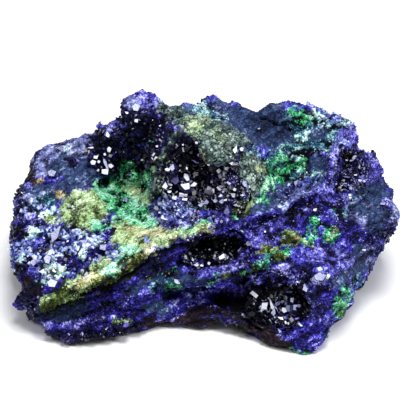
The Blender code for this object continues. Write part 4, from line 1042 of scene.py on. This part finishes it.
class Paint:
    """One material in the making."""

    def __init__(self, name):
        self.material = bpy.data.materials.new(name)
        self.material.use_nodes = True
        self.tree = self.material.node_tree
        self.tree.nodes.clear()
        self.place = self.node("ShaderNodeTexCoord", {}, {}, "Object")

    def node(self, kind, settings, sockets, output=0):
        made = self.tree.nodes.new(kind)
        for name, value in settings.items():
            if name == "stops":
                ramp = made.color_ramp
                while len(ramp.elements) < len(value):
                    ramp.elements.new(1)
                for element, (position, colour) in zip(ramp.elements, value):
                    element.position = position
                    element.color = (*colour, 1)
            else:
                setattr(made, name, value)
        for key, value in sockets.items():
            if isinstance(value, Wire):
                self.tree.links.new(value.socket, made.inputs[key])
            else:
                made.inputs[key].default_value = value
        return Wire(self, made.outputs[output])

    def combine(self, operation, first, second):
        pair = [value for value in (first, second) if isinstance(value, Wire)]
        if not any(wire.is_colour for wire in pair):
            return self.node("ShaderNodeMath", {"operation": operation}, {0: first, 1: second})
        if operation == "MULTIPLY" and not (len(pair) == 2 and all(wire.is_colour for wire in pair)):
            colour, number = (first, second) if pair[0] is first and pair[0].is_colour else (second, first)
            return self.node("ShaderNodeVectorMath", {"operation": "SCALE"}, {0: colour, "Scale": number})
        return self.node("ShaderNodeVectorMath", {"operation": operation}, {0: first, 1: second})

    def field(self, name):
        return self.node("ShaderNodeAttribute", {"attribute_name": name}, {}, "Fac")

    def noise(self, size, detail=2.0, output=0):
        sockets = {"Vector": self.place, "Scale": 1 / (size * MM), "Detail": detail}
        return self.node("ShaderNodeTexNoise", {}, sockets, output)

    def grain(self, size, output="Distance", feature="F1", place=None):
        sockets = {"Vector": place or self.place, "Scale": 1 / (size * MM)}
        return self.node("ShaderNodeTexVoronoi", {"feature": feature}, sockets, output)

    def spread(self, value, low, high):
        """Stretches a value so that low becomes 0 and high becomes 1."""
        return self.node("ShaderNodeMapRange", {}, {"Value": value, "From Min": low, "From Max": high})

    def ramp(self, value, stops):
        return self.node("ShaderNodeValToRGB", {"stops": stops}, {"Fac": value})

    def blend(self, share, first, second):
        return self.node("ShaderNodeMix", {"data_type": "RGBA"}, {0: share, 6: first, 7: second}, 2)

    def bump(self, height, strength, depth):
        sockets = {"Height": height, "Strength": strength, "Distance": depth * MM}
        return self.node("ShaderNodeBump", {}, sockets)

    def finish(self, sockets):
        shader = self.node("ShaderNodeBsdfPrincipled", {}, sockets)
        output = self.tree.nodes.new("ShaderNodeOutputMaterial")
        self.tree.links.new(shader.socket, output.inputs["Surface"])
        return self.material


# low, so that the dark kinds stay dark under wide soft lights
SKIN_IOR = 1.15
CRYSTAL_IOR = 1.3
# painted glints: the pale colour of faces that stands in for the lamps' reflection, and the kinds whose
# glints have a colour of their own
PALE_GLINT = (0.82, 0.84, 0.97, 1)
GLINT_COLOURS = {"velvet": (0.5, 0.5, 0.92, 1), "violet": (0.62, 0.62, 0.95, 1),
                 "dusk": (0.48, 0.46, 0.82, 1), "slate": (0.5, 0.58, 0.8, 1)}
# tablets: dark walls, and the pale end face that is a painted glint
WALL_COLOUR = (0.02, 0.02, 0.08, 1)
TABLET_STOPS = ((0.0, (0.02, 0.02, 0.14)), (0.35, (0.2, 0.2, 0.42)), (0.7, (0.62, 0.66, 0.82)),
                (1.0, (0.98, 0.98, 1.0)))


def skin_finish():
    """The mass between its crystals: each kind's colours, by its share at the place, with painted shade in
    its low places and crevices.
    """
    paint = Paint("vein_skin")
    grain_number = paint.node("ShaderNodeSeparateColor", {}, {0: paint.grain(0.36, "Color")})
    soft = paint.spread(paint.noise(1.6, 4), 0.3, 0.7)
    tone = grain_number * 0.55 + soft * 0.1 + paint.field("paleness") * 0.38
    # painted light and shade: the skin's high places are paler and its low places darker
    tone = tone + (paint.field("height") - 0.5) * 0.4
    colour = None
    roughness = None
    for kind, (stops, rough) in KINDS.items():
        share = paint.field(kind)
        part = paint.ramp(tone, stops) * share
        colour = part if colour is None else colour + part
        roughness = share * rough if roughness is None else roughness + share * rough
    # painted shade: crevices and low places of the skin are darkened
    crevice_shade = paint.spread(paint.field("height"), 0.05, 0.5)
    drift = paint.noise(0.9, output="Color")
    bent = paint.place + (drift - (0.5, 0.5, 0.5)) * (0.7 * MM)
    fissure = paint.spread(paint.grain(1.3, "Distance", "DISTANCE_TO_EDGE", bent), 0.02, 0.12)
    fine_fissure = paint.spread(paint.grain(0.55, "Distance", "DISTANCE_TO_EDGE", bent), 0.0, 0.16)
    crust = paint.field("sage") + paint.field("lichen") + (paint.field("slate") + paint.field("teal")) * 0.35
    open_part = (1 - fissure) * 0.7 + (1 - fine_fissure) * 0.45
    colour = colour * (crevice_shade * 0.75 + 0.25) * (1 - crust * open_part)
    relief = paint.noise(0.5, 4) * 0.6 + paint.grain(0.35) * 0.6
    return paint.finish({"Base Color": colour, "Roughness": roughness, "IOR": SKIN_IOR,
                         "Normal": paint.bump(relief, 0.8, 0.25)})


def crystal_finish(kind, stops, rough):
    """One kind's crystals: a tone for each, and some of their faces painted bright as glints."""
    paint = Paint(kind + "_crystal")
    cloud = paint.spread(paint.noise(0.5, 3), 0.3, 0.7)
    tone = paint.field("tone") * 0.85 + cloud * 0.3 - 0.08
    colour = paint.blend(paint.field("glint"), paint.ramp(tone, stops), GLINT_COLOURS.get(kind, PALE_GLINT))
    roughness = cloud * 0.15 + max(rough - 0.1, 0.08)
    striation = paint.noise(0.18, 2)
    return paint.finish({"Base Color": colour, "Roughness": roughness, "IOR": CRYSTAL_IOR,
                         "Normal": paint.bump(striation, 0.25, 0.05)})


def tablet_finish():
    """Dark walls and a flat end painted bright as a glint, as pale as the crystal's tone says."""
    paint = Paint("tablet")
    cloud = paint.spread(paint.noise(0.35, 3), 0.25, 0.75)
    end = paint.ramp(paint.field("tone") * 0.85 + cloud * 0.3 - 0.1, TABLET_STOPS)
    colour = paint.blend(paint.field("glint"), WALL_COLOUR, end)
    return paint.finish({"Base Color": colour, "Roughness": cloud * 0.2 + 0.15, "IOR": CRYSTAL_IOR,
                         "Normal": paint.bump(cloud, 0.2, 0.05)})


# ---- the skin --------------------------------------------------------------------------------------------
def paleness(points):
    """How pale the surface is at each point, 0 to 1: streaks along the bedding, grains and wide clouds, and
    the listed paler and darker places, which are partly painted shade and painted light.
    """
    across_bed = points + np.outer(points @ BED, BED) * 5.0
    streak = rough_noise(across_bed, 3.4, 90, 4)
    _, _, own = cells(points, 1.2, 95)
    cloud = rough_noise(points, 5, 98)
    across, up = seen(points)
    shade = np.zeros(len(points))
    # partly the stone's own tone, partly painted shade and painted light
    for *ellipse, amount in TONE_LIGHT_AND_SHADE:
        shade += amount * fade(1.25, 0.6, patch_distance(across, up, *ellipse))
    return np.clip(0.5 + streak * 0.6 + (own - 0.5) * 0.4 + cloud * 0.3 + shade, -0.4, 1.2)


def skin_relief(points, shares):
    """How far the skin stands out, and how high each place is in its own relief, 0 to 1."""
    lumps, _, _ = cells(points, 2.3, 50)
    small, _, _ = cells(points, 1.05, 55)
    tiny, _, _ = cells(points, 0.62, 60)
    plates, plates_next, _ = cells(points + rough_noise(points, 1.5, 64)[:, None] * 0.3, 1.9, 65)
    swell = rough_noise(points, 6, 70)
    along_bed = points + np.outer(points @ BED, BED) * 4.0
    streak = rough_noise(along_bed, 3.6, 75)
    cracks = fade(0.16, 0.02, plates_next - plates)
    by_kind = {
        "velvet": (0.5 - small) * 0.4 + streak * 0.45 + (0.5 - tiny) * 0.25,
        "violet": (0.5 - small) * 0.5 + streak * 0.3 + (0.5 - tiny) * 0.25,
        "dusk": (0.5 - lumps) * 0.5 + (0.5 - small) * 0.4,
        "dark": (0.5 - lumps) * 0.7 + (0.5 - small) * 0.4,
        "pit": -0.3 + (0.5 - tiny) * 0.2,
        "frost": (0.5 - lumps) * 0.9 + (0.5 - small) * 0.6,
        "rime": 0.25 + (0.5 - lumps) * 0.5 + (0.5 - small) * 0.6,
        "slate": streak * 0.12 + (0.5 - small) * 0.15,
        "mist": streak * 0.3 + (0.5 - lumps) * 0.4 + (0.5 - small) * 0.5 + (0.5 - tiny) * 0.2,
        "teal": (0.5 - small) * 0.55 + (0.5 - tiny) * 0.25,
        "green": (0.45 - small ** 2) * 0.8 + (0.5 - tiny) * 0.3,
        "mint": (0.45 - small ** 2) * 0.5 + (0.5 - tiny) * 0.25,
        "olive": (0.5 - small) * 0.35 + (0.5 - tiny) * 0.35,
        "moss": (0.5 - small) * 0.45 + (0.5 - tiny) * 0.35,
        "lichen": (0.5 - tiny) * 0.3 - cracks * 0.35,
        "sage": streak * 0.1 + (0.5 - tiny) * 0.2 - cracks * 0.45,
        "ochre": (0.5 - tiny) * 0.4,
        "cream": (0.5 - small) * 0.5 + (0.5 - tiny) * 0.3,
        "brown": (0.5 - small) * 0.3 + streak * 0.3,
    }
    relief = sum(shares[kind] * by_kind[kind] for kind in KINDS)
    height = np.clip(0.5 + relief / 0.8, 0, 1)
    calm = 1 - 0.75 * shares["slate"]
    return relief + swell * 0.45 * calm, height


def on_boss(across, up):
    """The place on the boss's round front, with the crust on it, that shows at (across, up)."""
    half_size = BOSS_HALF + OVERHANG_PROUD
    ray = np.array(sight(across, up)) / half_size
    start = (EYE - BOSS_CENTRE) / half_size
    square, half, rest = ray @ ray, start @ ray, start @ start - 1
    reach = (-half - math.sqrt(max(half * half - square * rest, 0))) / square
    return EYE + np.array(sight(across, up)) * reach


def overhang(outline):
    """A crust over the boss's vug: a curved slab with this outline."""
    shape = bmesh.new()
    shape.faces.new([shape.verts.new((across, up, 0)) for across, up in outline])
    for _ in range(3):
        bmesh.ops.triangulate(shape, faces=shape.faces)
        long_edges = [edge for edge in shape.edges if edge.calc_length() > LONGEST_EDGE]
        bmesh.ops.subdivide_edges(shape, edges=long_edges, cuts=1)
    bmesh.ops.triangulate(shape, faces=shape.faces)
    front = [np.array(on_boss(vertex.co.x, vertex.co.y)) for vertex in shape.verts]
    lifted = bmesh.ops.extrude_face_region(shape, geom=list(shape.faces))["geom"]
    back = [item for item in lifted if isinstance(item, bmesh.types.BMVert)]
    for vertex in back:
        place = on_boss(vertex.co.x, vertex.co.y)
        vertex.co = Vector(place + (BOSS_CENTRE - place) * OVERHANG_THICK / BOSS_HALF[0]) * MM
    for vertex, place in zip(shape.verts, front):
        vertex.co = Vector(place) * MM
    bmesh.ops.recalc_face_normals(shape, faces=shape.faces)
    return mesh_from(shape, "overhang")


def stone(outline, near, far):
    """A piece with this outline on the display side, from its nearest to its farthest depth."""
    shape = bmesh.new()
    ends = []
    for depth in (near, far):
        places = [on_view_plane(*corner) + np.array(sight(*corner)) * (-depth) for corner in outline]
        ends.append([shape.verts.new(place * MM) for place in places])
    for end in ends:
        shape.faces.new(end)
    for i in range(len(outline)):
        j = (i + 1) % len(outline)
        shape.faces.new((ends[0][i], ends[0][j], ends[1][j], ends[1][i]))
    bmesh.ops.recalc_face_normals(shape, faces=shape.faces)
    return mesh_from(shape, "stone")


def stand_lumps():
    """The blunt blocks and lumps, each leaning outwards from the mass."""
    dice = np.random.default_rng(SEED + 9)
    tree = carried_by([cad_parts["azurite_mass"].data])
    roots, normals, wide, high, turns, reach = landed(tree, LUMPS)
    axes = unit(normals - (normals @ TO_EYE)[:, None] * TO_EYE * 0.6 + TO_EYE * 0.2)
    across = UPWARD * np.cos(turns)[:, None] + (TO_EYE - SIDEWAYS) * np.sin(turns)[:, None]
    pile = Pile()
    grow(pile, "knob", roots, axes, wide, high, reach / LUMP_SHOWN, dice, np.zeros(len(roots), int), 0,
         slant=0.25, across=across)
    return pile.mesh("lumps")


def edge_lift(points, normals):
    """How far the skin stands out or sinks back along the edges and clefts of the display side."""
    across, up = seen(points)
    across = across + rough_noise(points, 2.2, 101) * 0.5 + noise(points, 5.5, 104) * 0.9
    up = up + rough_noise(points, 2.2, 111) * 0.5 + noise(points, 5.5, 114) * 0.9
    lift = np.zeros(len(points))
    for rise, above, below, line in EDGES:
        nearest = np.full(len(points), 99.0)
        offset = np.zeros(len(points))
        for (x0, y0), (x1, y1) in zip(line, line[1:]):
            along = np.array((x1 - x0, y1 - y0))
            length = np.hypot(*along)
            along = along / length
            part = (across - x0) * along[0] + (up - y0) * along[1]
            side = (up - y0) * along[0] - (across - x0) * along[1]
            past = np.maximum(np.maximum(-part, part - length), 0)
            away = np.hypot(past, side)
            offset = np.where(away < nearest, side, offset)
            ends = away - np.abs(side)
            offset = np.where((away < nearest) & (ends > 0.2), np.sign(side) * away, offset)
            nearest = np.minimum(nearest, away)
        profile = np.where(offset > 0, fade(above, 0, offset), fade(-below, 0, offset))
        lift += rise * profile
    shown = fade(-0.1, 0.15, normals @ TO_EYE)
    return lift * shown


def trim_lift(points):
    """How far the outer edge is drawn in at the places in TRIMS."""
    across, up = seen(points)
    lift = np.zeros(len(points))
    for *ellipse, depth in TRIMS:
        lift = np.minimum(lift, -depth * fade(1.0, 0.25, patch_distance(across, up, *ellipse)))
    return lift


def layer_lift(points, normals):
    """How far the layers of the back stand out: sharp at their upper edges, and broken up into fields."""
    layer = (points @ BED) / LAYER_THICK + rough_noise(points, 9, 140) * 0.35
    part = layer - np.floor(layer)
    step = fade(1.0, 0.86, part) * part
    nearest, second, own = cells(points + rough_noise(points, 5, 143)[:, None] * 0.8, FIELD_WIDE, 145)
    field = (own - 0.5) * fade(0.02, 0.16, second - nearest)
    hidden = fade(0.0, -0.3, normals @ TO_EYE) * fade(BARE_FOOT, LAYERS_FROM, points[:, 2])
    return (step * LAYER_PROUD - LAYER_SUNK + field * FIELD_PROUD) * hidden


def dress_mass():
    """The skin of the whole mass."""
    grown_on = [*map(overhang, OVERHANGS), *(stone(*row) for row in STONES), stand_lumps()]
    obj = refined("azurite_mass", "vein_skin", SKIN_VOXEL, 2, grown_on)
    points, normals = surface(obj.data)
    lift = edge_lift(points, normals)
    standing = fade(FLAT_FOOT, ROUGH_FROM, points[:, 2])
    reach = lift + layer_lift(points, normals) + trim_lift(points)
    set_points(obj.data, points + normals * (reach * standing)[:, None])
    points, normals = surface(obj.data)
    shares = kinds_at(points, normals, lift)
    relief, height = skin_relief(points, shares)
    # the ledges' edges count as higher and their recesses as lower, for the skin's painted light and shade
    height = np.clip(height + lift * 0.35, 0, 1)
    set_points(obj.data, points + normals * (relief * standing)[:, None])
    for kind, share in shares.items():
        set_field(obj.data, kind, share)
    set_field(obj.data, "height", height)
    set_field(obj.data, "paleness", paleness(points))
    obj.data.materials.clear()
    obj.data.materials.append(skin_finish())
    obj.data.shade_smooth()
    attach(obj, "root")
    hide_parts("azurite_mass")
    return obj


def surface_picks(mesh, per_square, dice):
    """Places scattered evenly over a mesh, so many to a square millimetre: points and normals."""
    mesh.calc_loop_triangles()
    corners = numbers(mesh.loop_triangles, "vertices", np.int32, 3)
    points, normals = surface(mesh)
    a, b, c = (points[corners[:, i]] for i in range(3))
    area = np.linalg.norm(np.cross(b - a, c - a), axis=1) / 2
    count = int(area.sum() * per_square)
    chosen = dice.choice(len(area), count, p=area / area.sum())
    u, v = dice.random((2, count))
    flip = u + v > 1
    u, v = np.where(flip, 1 - u, u), np.where(flip, 1 - v, v)
    weights = np.stack([1 - u - v, u, v], axis=1)
    picked = corners[chosen]
    at = (points[picked] * weights[..., None]).sum(1)
    out = (normals[picked] * weights[..., None]).sum(1)
    return at, unit(out)


def one_kind_each(shares, dice):
    """Draws a kind for each place by the shares there, as its number in the order of KINDS."""
    odds = np.stack([shares[kind] for kind in KINDS], axis=1)
    odds = np.cumsum(odds / odds.sum(1, keepdims=True), axis=1)
    return (dice.random(len(odds))[:, None] > odds).sum(1).clip(0, len(KINDS) - 1)


def grow_on_mass(skin):
    """The crystals and grains that cover the mass, as one piece for each finish."""
    dice = np.random.default_rng(SEED)
    densest = max(growth[3] for growth in GROWTH.values())
    at, out = surface_picks(skin.data, densest, dice)
    grown = dice.random(len(at)) < HIDDEN_GROWTH + (1 - HIDDEN_GROWTH) * fade(-0.2, 0.0, out @ TO_EYE)
    at, out = at[grown], out[grown]
    lift = edge_lift(at, out)
    shares = kinds_at(at + dice.normal(size=at.shape) * MINGLE, out, lift)
    chosen = one_kind_each(shares, dice)
    keep = dice.random(len(at)) * densest < np.array([GROWTH[kind][3] for kind in KINDS])[chosen]
    keep &= at[:, 2] > BARE_FOOT
    keep &= ~((out[:, 2] < -0.5) & (at[:, 2] < UNDERSIDE_TO))
    crusts = carried_by([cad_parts[name].data for name in DRUSES])
    near = np.array([crusts.find_nearest(point, RIM_GAP)[0] is not None for point in at[keep]])
    keep[np.flatnonzero(keep)[near]] = False
    piles = {}
    kinds_in = {}
    for index, kind in enumerate(KINDS):
        piece, forms, (low, high), _, lean, (short, tall) = GROWTH[kind]
        pile = piles.setdefault(piece, Pile())
        slots = kinds_in.setdefault(piece, [])
        slots.append(kind)
        mine = np.flatnonzero(keep & (chosen == index))
        form_of = dice.integers(0, len(forms), len(mine))
        for number, form in enumerate(forms):
            these = mine[form_of == number]
            count = len(these)
            axes = unit(out[these] + dice.normal(size=(count, 3)) * LEAN * lean)
            widths = low + (high - low) * dice.random(count) ** SMALL_BIAS
            thicks = widths * dice.uniform(*FLATNESS, count)
            heights = widths * dice.uniform(short, tall, count)
            own = TONE_OWN[piece]
            tones = dice.random(count) * own + paleness(at[these]) * (1.05 - own)
            # painted light and shade: paler on the ledges' edges, darker in the recesses below them
            tones = tones + lift[these] * EDGE_LIGHT_AND_SHADE - 0.03
            grow(pile, form, at[these], axes, widths, thicks, heights, dice,
                 np.full(count, len(slots) - 1), GLINTS.get(kind, 0), tones)
    for piece, pile in piles.items():
        obj = add_object(piece, pile.mesh(piece))
        for kind in kinds_in[piece]:
            obj.data.materials.append(MATERIALS[kind])
        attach(obj, "root")


# ---- the vugs --------------------------------------------------------------------------------------------
# the crystals of each druse: from how wide, to how wide, how many
DRUSES = {
    "boss_vug_crystals": ((0.3, 0.6, 1500), (0.6, 1.1, 520), (1.1, 1.6, 110), (1.6, 2.3, 14)),
    "ledge_vug_crystals": ((0.25, 0.5, 900), (0.5, 0.9, 320), (0.9, 1.2, 40)),
    "lower_vug_crystals": ((0.3, 0.6, 900), (0.6, 1.2, 320), (1.2, 1.9, 60), (2.0, 2.8, 14)),
    "corner_pocket_crystals": ((0.25, 0.5, 700), (0.5, 0.95, 220), (0.95, 1.4, 50)),
}
# where light is painted on the crystals of the vugs, as paler tones and more painted glints, with painted
# shade elsewhere: across, up, half wide, half high, how much
LIT = (
    (-4.6, 33.4, 5.2, 3.6, 1.0), (4.6, 32.4, 4.8, 4.6, 0.9), (5.6, 39.6, 2.6, 2.6, 1.0),
    (-6.4, 37.4, 2.0, 1.6, 0.7), (0.6, 30.2, 2.2, 1.4, 1.0), (-2.0, 19.2, 2.8, 1.2, 0.75),
    (3.2, 19.6, 1.9, 1.0, 0.8), (4.6, 22.0, 2.4, 0.8, 0.3), (15.4, 9.8, 4.3, 3.5, 1.0),
    (19.2, 6.6, 2.4, 1.0, 0.4), (30.2, 36.6, 3.0, 3.8, 0.8), (28.0, 34.0, 2.2, 1.6, 0.6),
    (-5.4, 28.8, 5.2, 2.6, 0.8),
)
# painted shade: the least painted light anywhere in the vugs, and how pale a crystal is there against one in
# full painted light
UNLIT = 0.12
UNLIT_TONE = 0.25        # how pale a crystal is that catches no light, against one that does
DARK_BIAS = 1.35         # above 1, dark crystals outnumber pale ones
DRUSE_PLACES = 30        # per square millimetre of lining
# painted glints: pale faces that stand in for the lamps' reflection
DRUSE_GLINTS = 0.34      # share of the faces that catch the light where it is brightest
DRUSE_LEAN = 0.4
DRUSE_FLATNESS = (0.45, 0.9)
DRUSE_HEIGHTS = (0.8, 1.3)
BESIDE_DARK = (0.85, 0.8)    # how wide and how high the other kinds' crystals are against the dark ones
LINING_GRAIN = 1.1
LINING_RELIEF = 0.45
MOUTH_AWAY = 0.35        # how far out a vug's mouth lies, against the vug's longest side


def lit_share(points):
    """How much light is painted on each place in the vugs, 0 to 1; where it is low, the crystals are painted
    in shade.
    """
    across, up = seen(points)
    share = np.full(len(points), UNLIT)
    for *ellipse, most in LIT:
        share = np.maximum(share, most * fade(1.15, 0.75, patch_distance(across, up, *ellipse)))
    return share


def dress_druse(name, layers):
    """One vug's lining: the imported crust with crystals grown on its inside."""
    obj = refined(name, name + "_lining", CRUST_VOXEL, 3)
    points, normals = surface(obj.data)
    middle = points.mean(0)
    small, _, _ = cells(points, LINING_GRAIN, 80)
    points = points + normals * ((0.45 - small) * LINING_RELIEF)[:, None]
    set_points(obj.data, points)
    dice = np.random.default_rng(SEED + len(name))
    at, out = surface_picks(obj.data, DRUSE_PLACES, dice)
    mouth = middle + TO_EYE * (points.max(0) - points.min(0)).max() * MOUTH_AWAY
    facing = np.einsum("ij,ij->i", out, mouth - at) > 0.25 * np.linalg.norm(mouth - at, axis=1)
    facing |= out @ TO_EYE > 0.2
    at, out = at[facing], out[facing]
    shares = kinds_at(at + dice.normal(size=at.shape) * MINGLE, np.repeat(TO_EYE[None], len(at), axis=0))
    chosen = one_kind_each(shares, dice)
    dark = chosen == list(KINDS).index("dark")
    pile = Pile()
    corners = numbers(obj.data.loops, "vertex_index", np.int32)
    sides = numbers(obj.data.polygons, "loop_total", np.int32)
    centres = numbers(obj.data.polygons, "center", np.float32, 3).astype(float) / MM
    lining = kinds_at(centres, np.repeat(TO_EYE[None], len(centres), axis=0))
    lining = np.argmax([lining[kind] for kind in KINDS], axis=0)
    _, _, own = cells(points, 0.7, 85)
    pile.add(points, corners, sides, own * 0.6, np.zeros(len(sides)), lining, True)
    used = 0
    for low, high, count in layers:
        these = np.arange(used, used + count) % len(at)
        used += count
        axes = unit(out[these] + dice.normal(size=(count, 3)) * DRUSE_LEAN)
        widths = dice.uniform(low, high, count) * np.where(dark[these], 1, BESIDE_DARK[0])
        thicks = widths * dice.uniform(*DRUSE_FLATNESS, count)
        heights = widths * dice.uniform(*DRUSE_HEIGHTS, count) * np.where(dark[these], 1, BESIDE_DARK[1])
        light = lit_share(at[these])
        # painted light and shade: crystals are paler and glint more where LIT paints light, darker elsewhere
        tones = dice.random(count) ** DARK_BIAS * (UNLIT_TONE + (1 - UNLIT_TONE) * light)
        forms = np.where(dark[these], dice.integers(0, 3, count), 3)
        for number, form in enumerate(("block", "prism", "column", "nugget")):
            mine = forms == number
            grow(pile, form, at[these][mine], axes[mine], widths[mine], thicks[mine], heights[mine], dice,
                 chosen[these][mine], DRUSE_GLINTS * light[mine], tones[mine])
    made = add_object(name + "_druse", pile.mesh(name))
    for kind in KINDS:
        made.data.materials.append(MATERIALS[kind])
    bpy.data.objects.remove(obj)
    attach(made, "root")
    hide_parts(name)
    return made


# ---- crystals that stand alone ---------------------------------------------------------------------------
TABLET_FORMS = ("shard", "slab", "wedge")
TABLET_SIZE = 1.25       # how wide a tablet's foot is against the end that shows
TABLET_REACH = (0.9, 0.4)    # how far it stands along its axis: in itself, and for each millimetre of width
TABLET_TURN = 0.25       # how far it turns from the eye towards the surface's own direction
TABLET_LEAN = 0.12


def stand_tablets(tree):
    """Each tablet is rooted in the skin or the vug it shows on, its flat end to the display side and painted
    pale as a glint.
    """
    dice = np.random.default_rng(SEED + 5)
    pile = Pile()
    roots, normals, wide, high, turns, pale = landed(tree, TABLETS)
    count = len(roots)
    axes = unit(TO_EYE + normals * TABLET_TURN + dice.normal(size=(count, 3)) * TABLET_LEAN)
    across = UPWARD * np.cos(turns)[:, None] - SIDEWAYS * np.sin(turns)[:, None]
    heights = TABLET_REACH[0] + TABLET_REACH[1] * np.minimum(wide, high)
    forms = dice.integers(0, len(TABLET_FORMS), count)
    for number, form in enumerate(TABLET_FORMS):
        mine = forms == number
        grow(pile, form, roots[mine], axes[mine], wide[mine] * TABLET_SIZE, high[mine] * TABLET_SIZE,
             heights[mine], dice, np.zeros(mine.sum(), int), 0, pale[mine], 0.2, across[mine], True)
    made = add_object("tablets", pile.mesh("tablets"))
    made.data.materials.append(tablet_finish())
    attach(made, "root")


# ---- floor, light and camera -----------------------------------------------------------------------------
# azimuth and elevation in degrees, size in metres, power in watts
SOFTBOXES = (
    ("top_softbox", 14, 70, 0.24, 3.2),
    ("left_softbox", -48, 48, 0.16, 0.8),
    ("right_softbox", 50, 44, 0.15, 1.5),
    ("back_softbox", 170, 50, 0.24, 0.9),
)
SOFTBOX_AWAY = 0.6       # metres
FLOOR_HALF = 3           # metres
SKY = (0.9, 0.93, 1, 1)
SKY_STRENGTH = 0.3


def lay_floor():
    shape = bmesh.new()
    bmesh.ops.create_grid(shape, x_segments=2, y_segments=2, size=FLOOR_HALF)
    floor = add_object("floor", mesh_from(shape, "floor"))
    paint = Paint("pale_floor")
    colour = paint.blend(paint.noise(60, 3), (0.86, 0.86, 0.87, 1), (0.89, 0.89, 0.89, 1))
    floor.data.materials.append(paint.finish({"Base Color": colour, "Roughness": 0.8}))


def add_softbox(name, azimuth, elevation, size, power):
    """A square area light that faces the specimen."""
    light = bpy.data.lights.new(name, "AREA")
    light.shape = "SQUARE"
    light.size = size
    light.energy = power
    lamp = add_object(name, light)
    turn, rise = math.radians(azimuth), math.radians(elevation)
    out = Vector((math.sin(turn) * math.cos(rise), -math.cos(turn) * math.cos(rise), math.sin(rise)))
    lamp.location = Vector(VIEW_MIDDLE) * MM + out * SOFTBOX_AWAY
    lamp.rotation_mode = "QUATERNION"
    lamp.rotation_quaternion = out.to_track_quat("Z", "Y")


def light_scene():
    world = bpy.data.worlds.new("studio")
    world.use_nodes = True
    background = world.node_tree.nodes["Background"]
    background.inputs["Color"].default_value = SKY
    background.inputs["Strength"].default_value = SKY_STRENGTH
    bpy.context.scene.world = world
    for softbox in SOFTBOXES:
        add_softbox(*softbox)
    bpy.context.scene.view_settings.view_transform = "Standard"


def place_camera():
    camera = bpy.data.cameras.new("camera")
    camera.lens = LENS
    camera.sensor_width = SENSOR
    camera.clip_start = 0.01
    camera.clip_end = 20
    holder = add_object("camera", camera)
    holder.location = Vector(EYE) * MM
    holder.rotation_mode = "QUATERNION"
    holder.rotation_quaternion = Vector(TO_EYE).to_track_quat("Z", "Y")
    bpy.context.scene.camera = holder


MATERIALS = {kind: crystal_finish(kind, *look) for kind, look in KINDS.items()}
skin = dress_mass()
grow_on_mass(skin)
druses = [dress_druse(druse_name, druse_layers) for druse_name, druse_layers in DRUSES.items()]
stand_tablets(carried_by([obj.data for obj in (skin, *druses)]))
lay_floor()
light_scene()
place_camera()
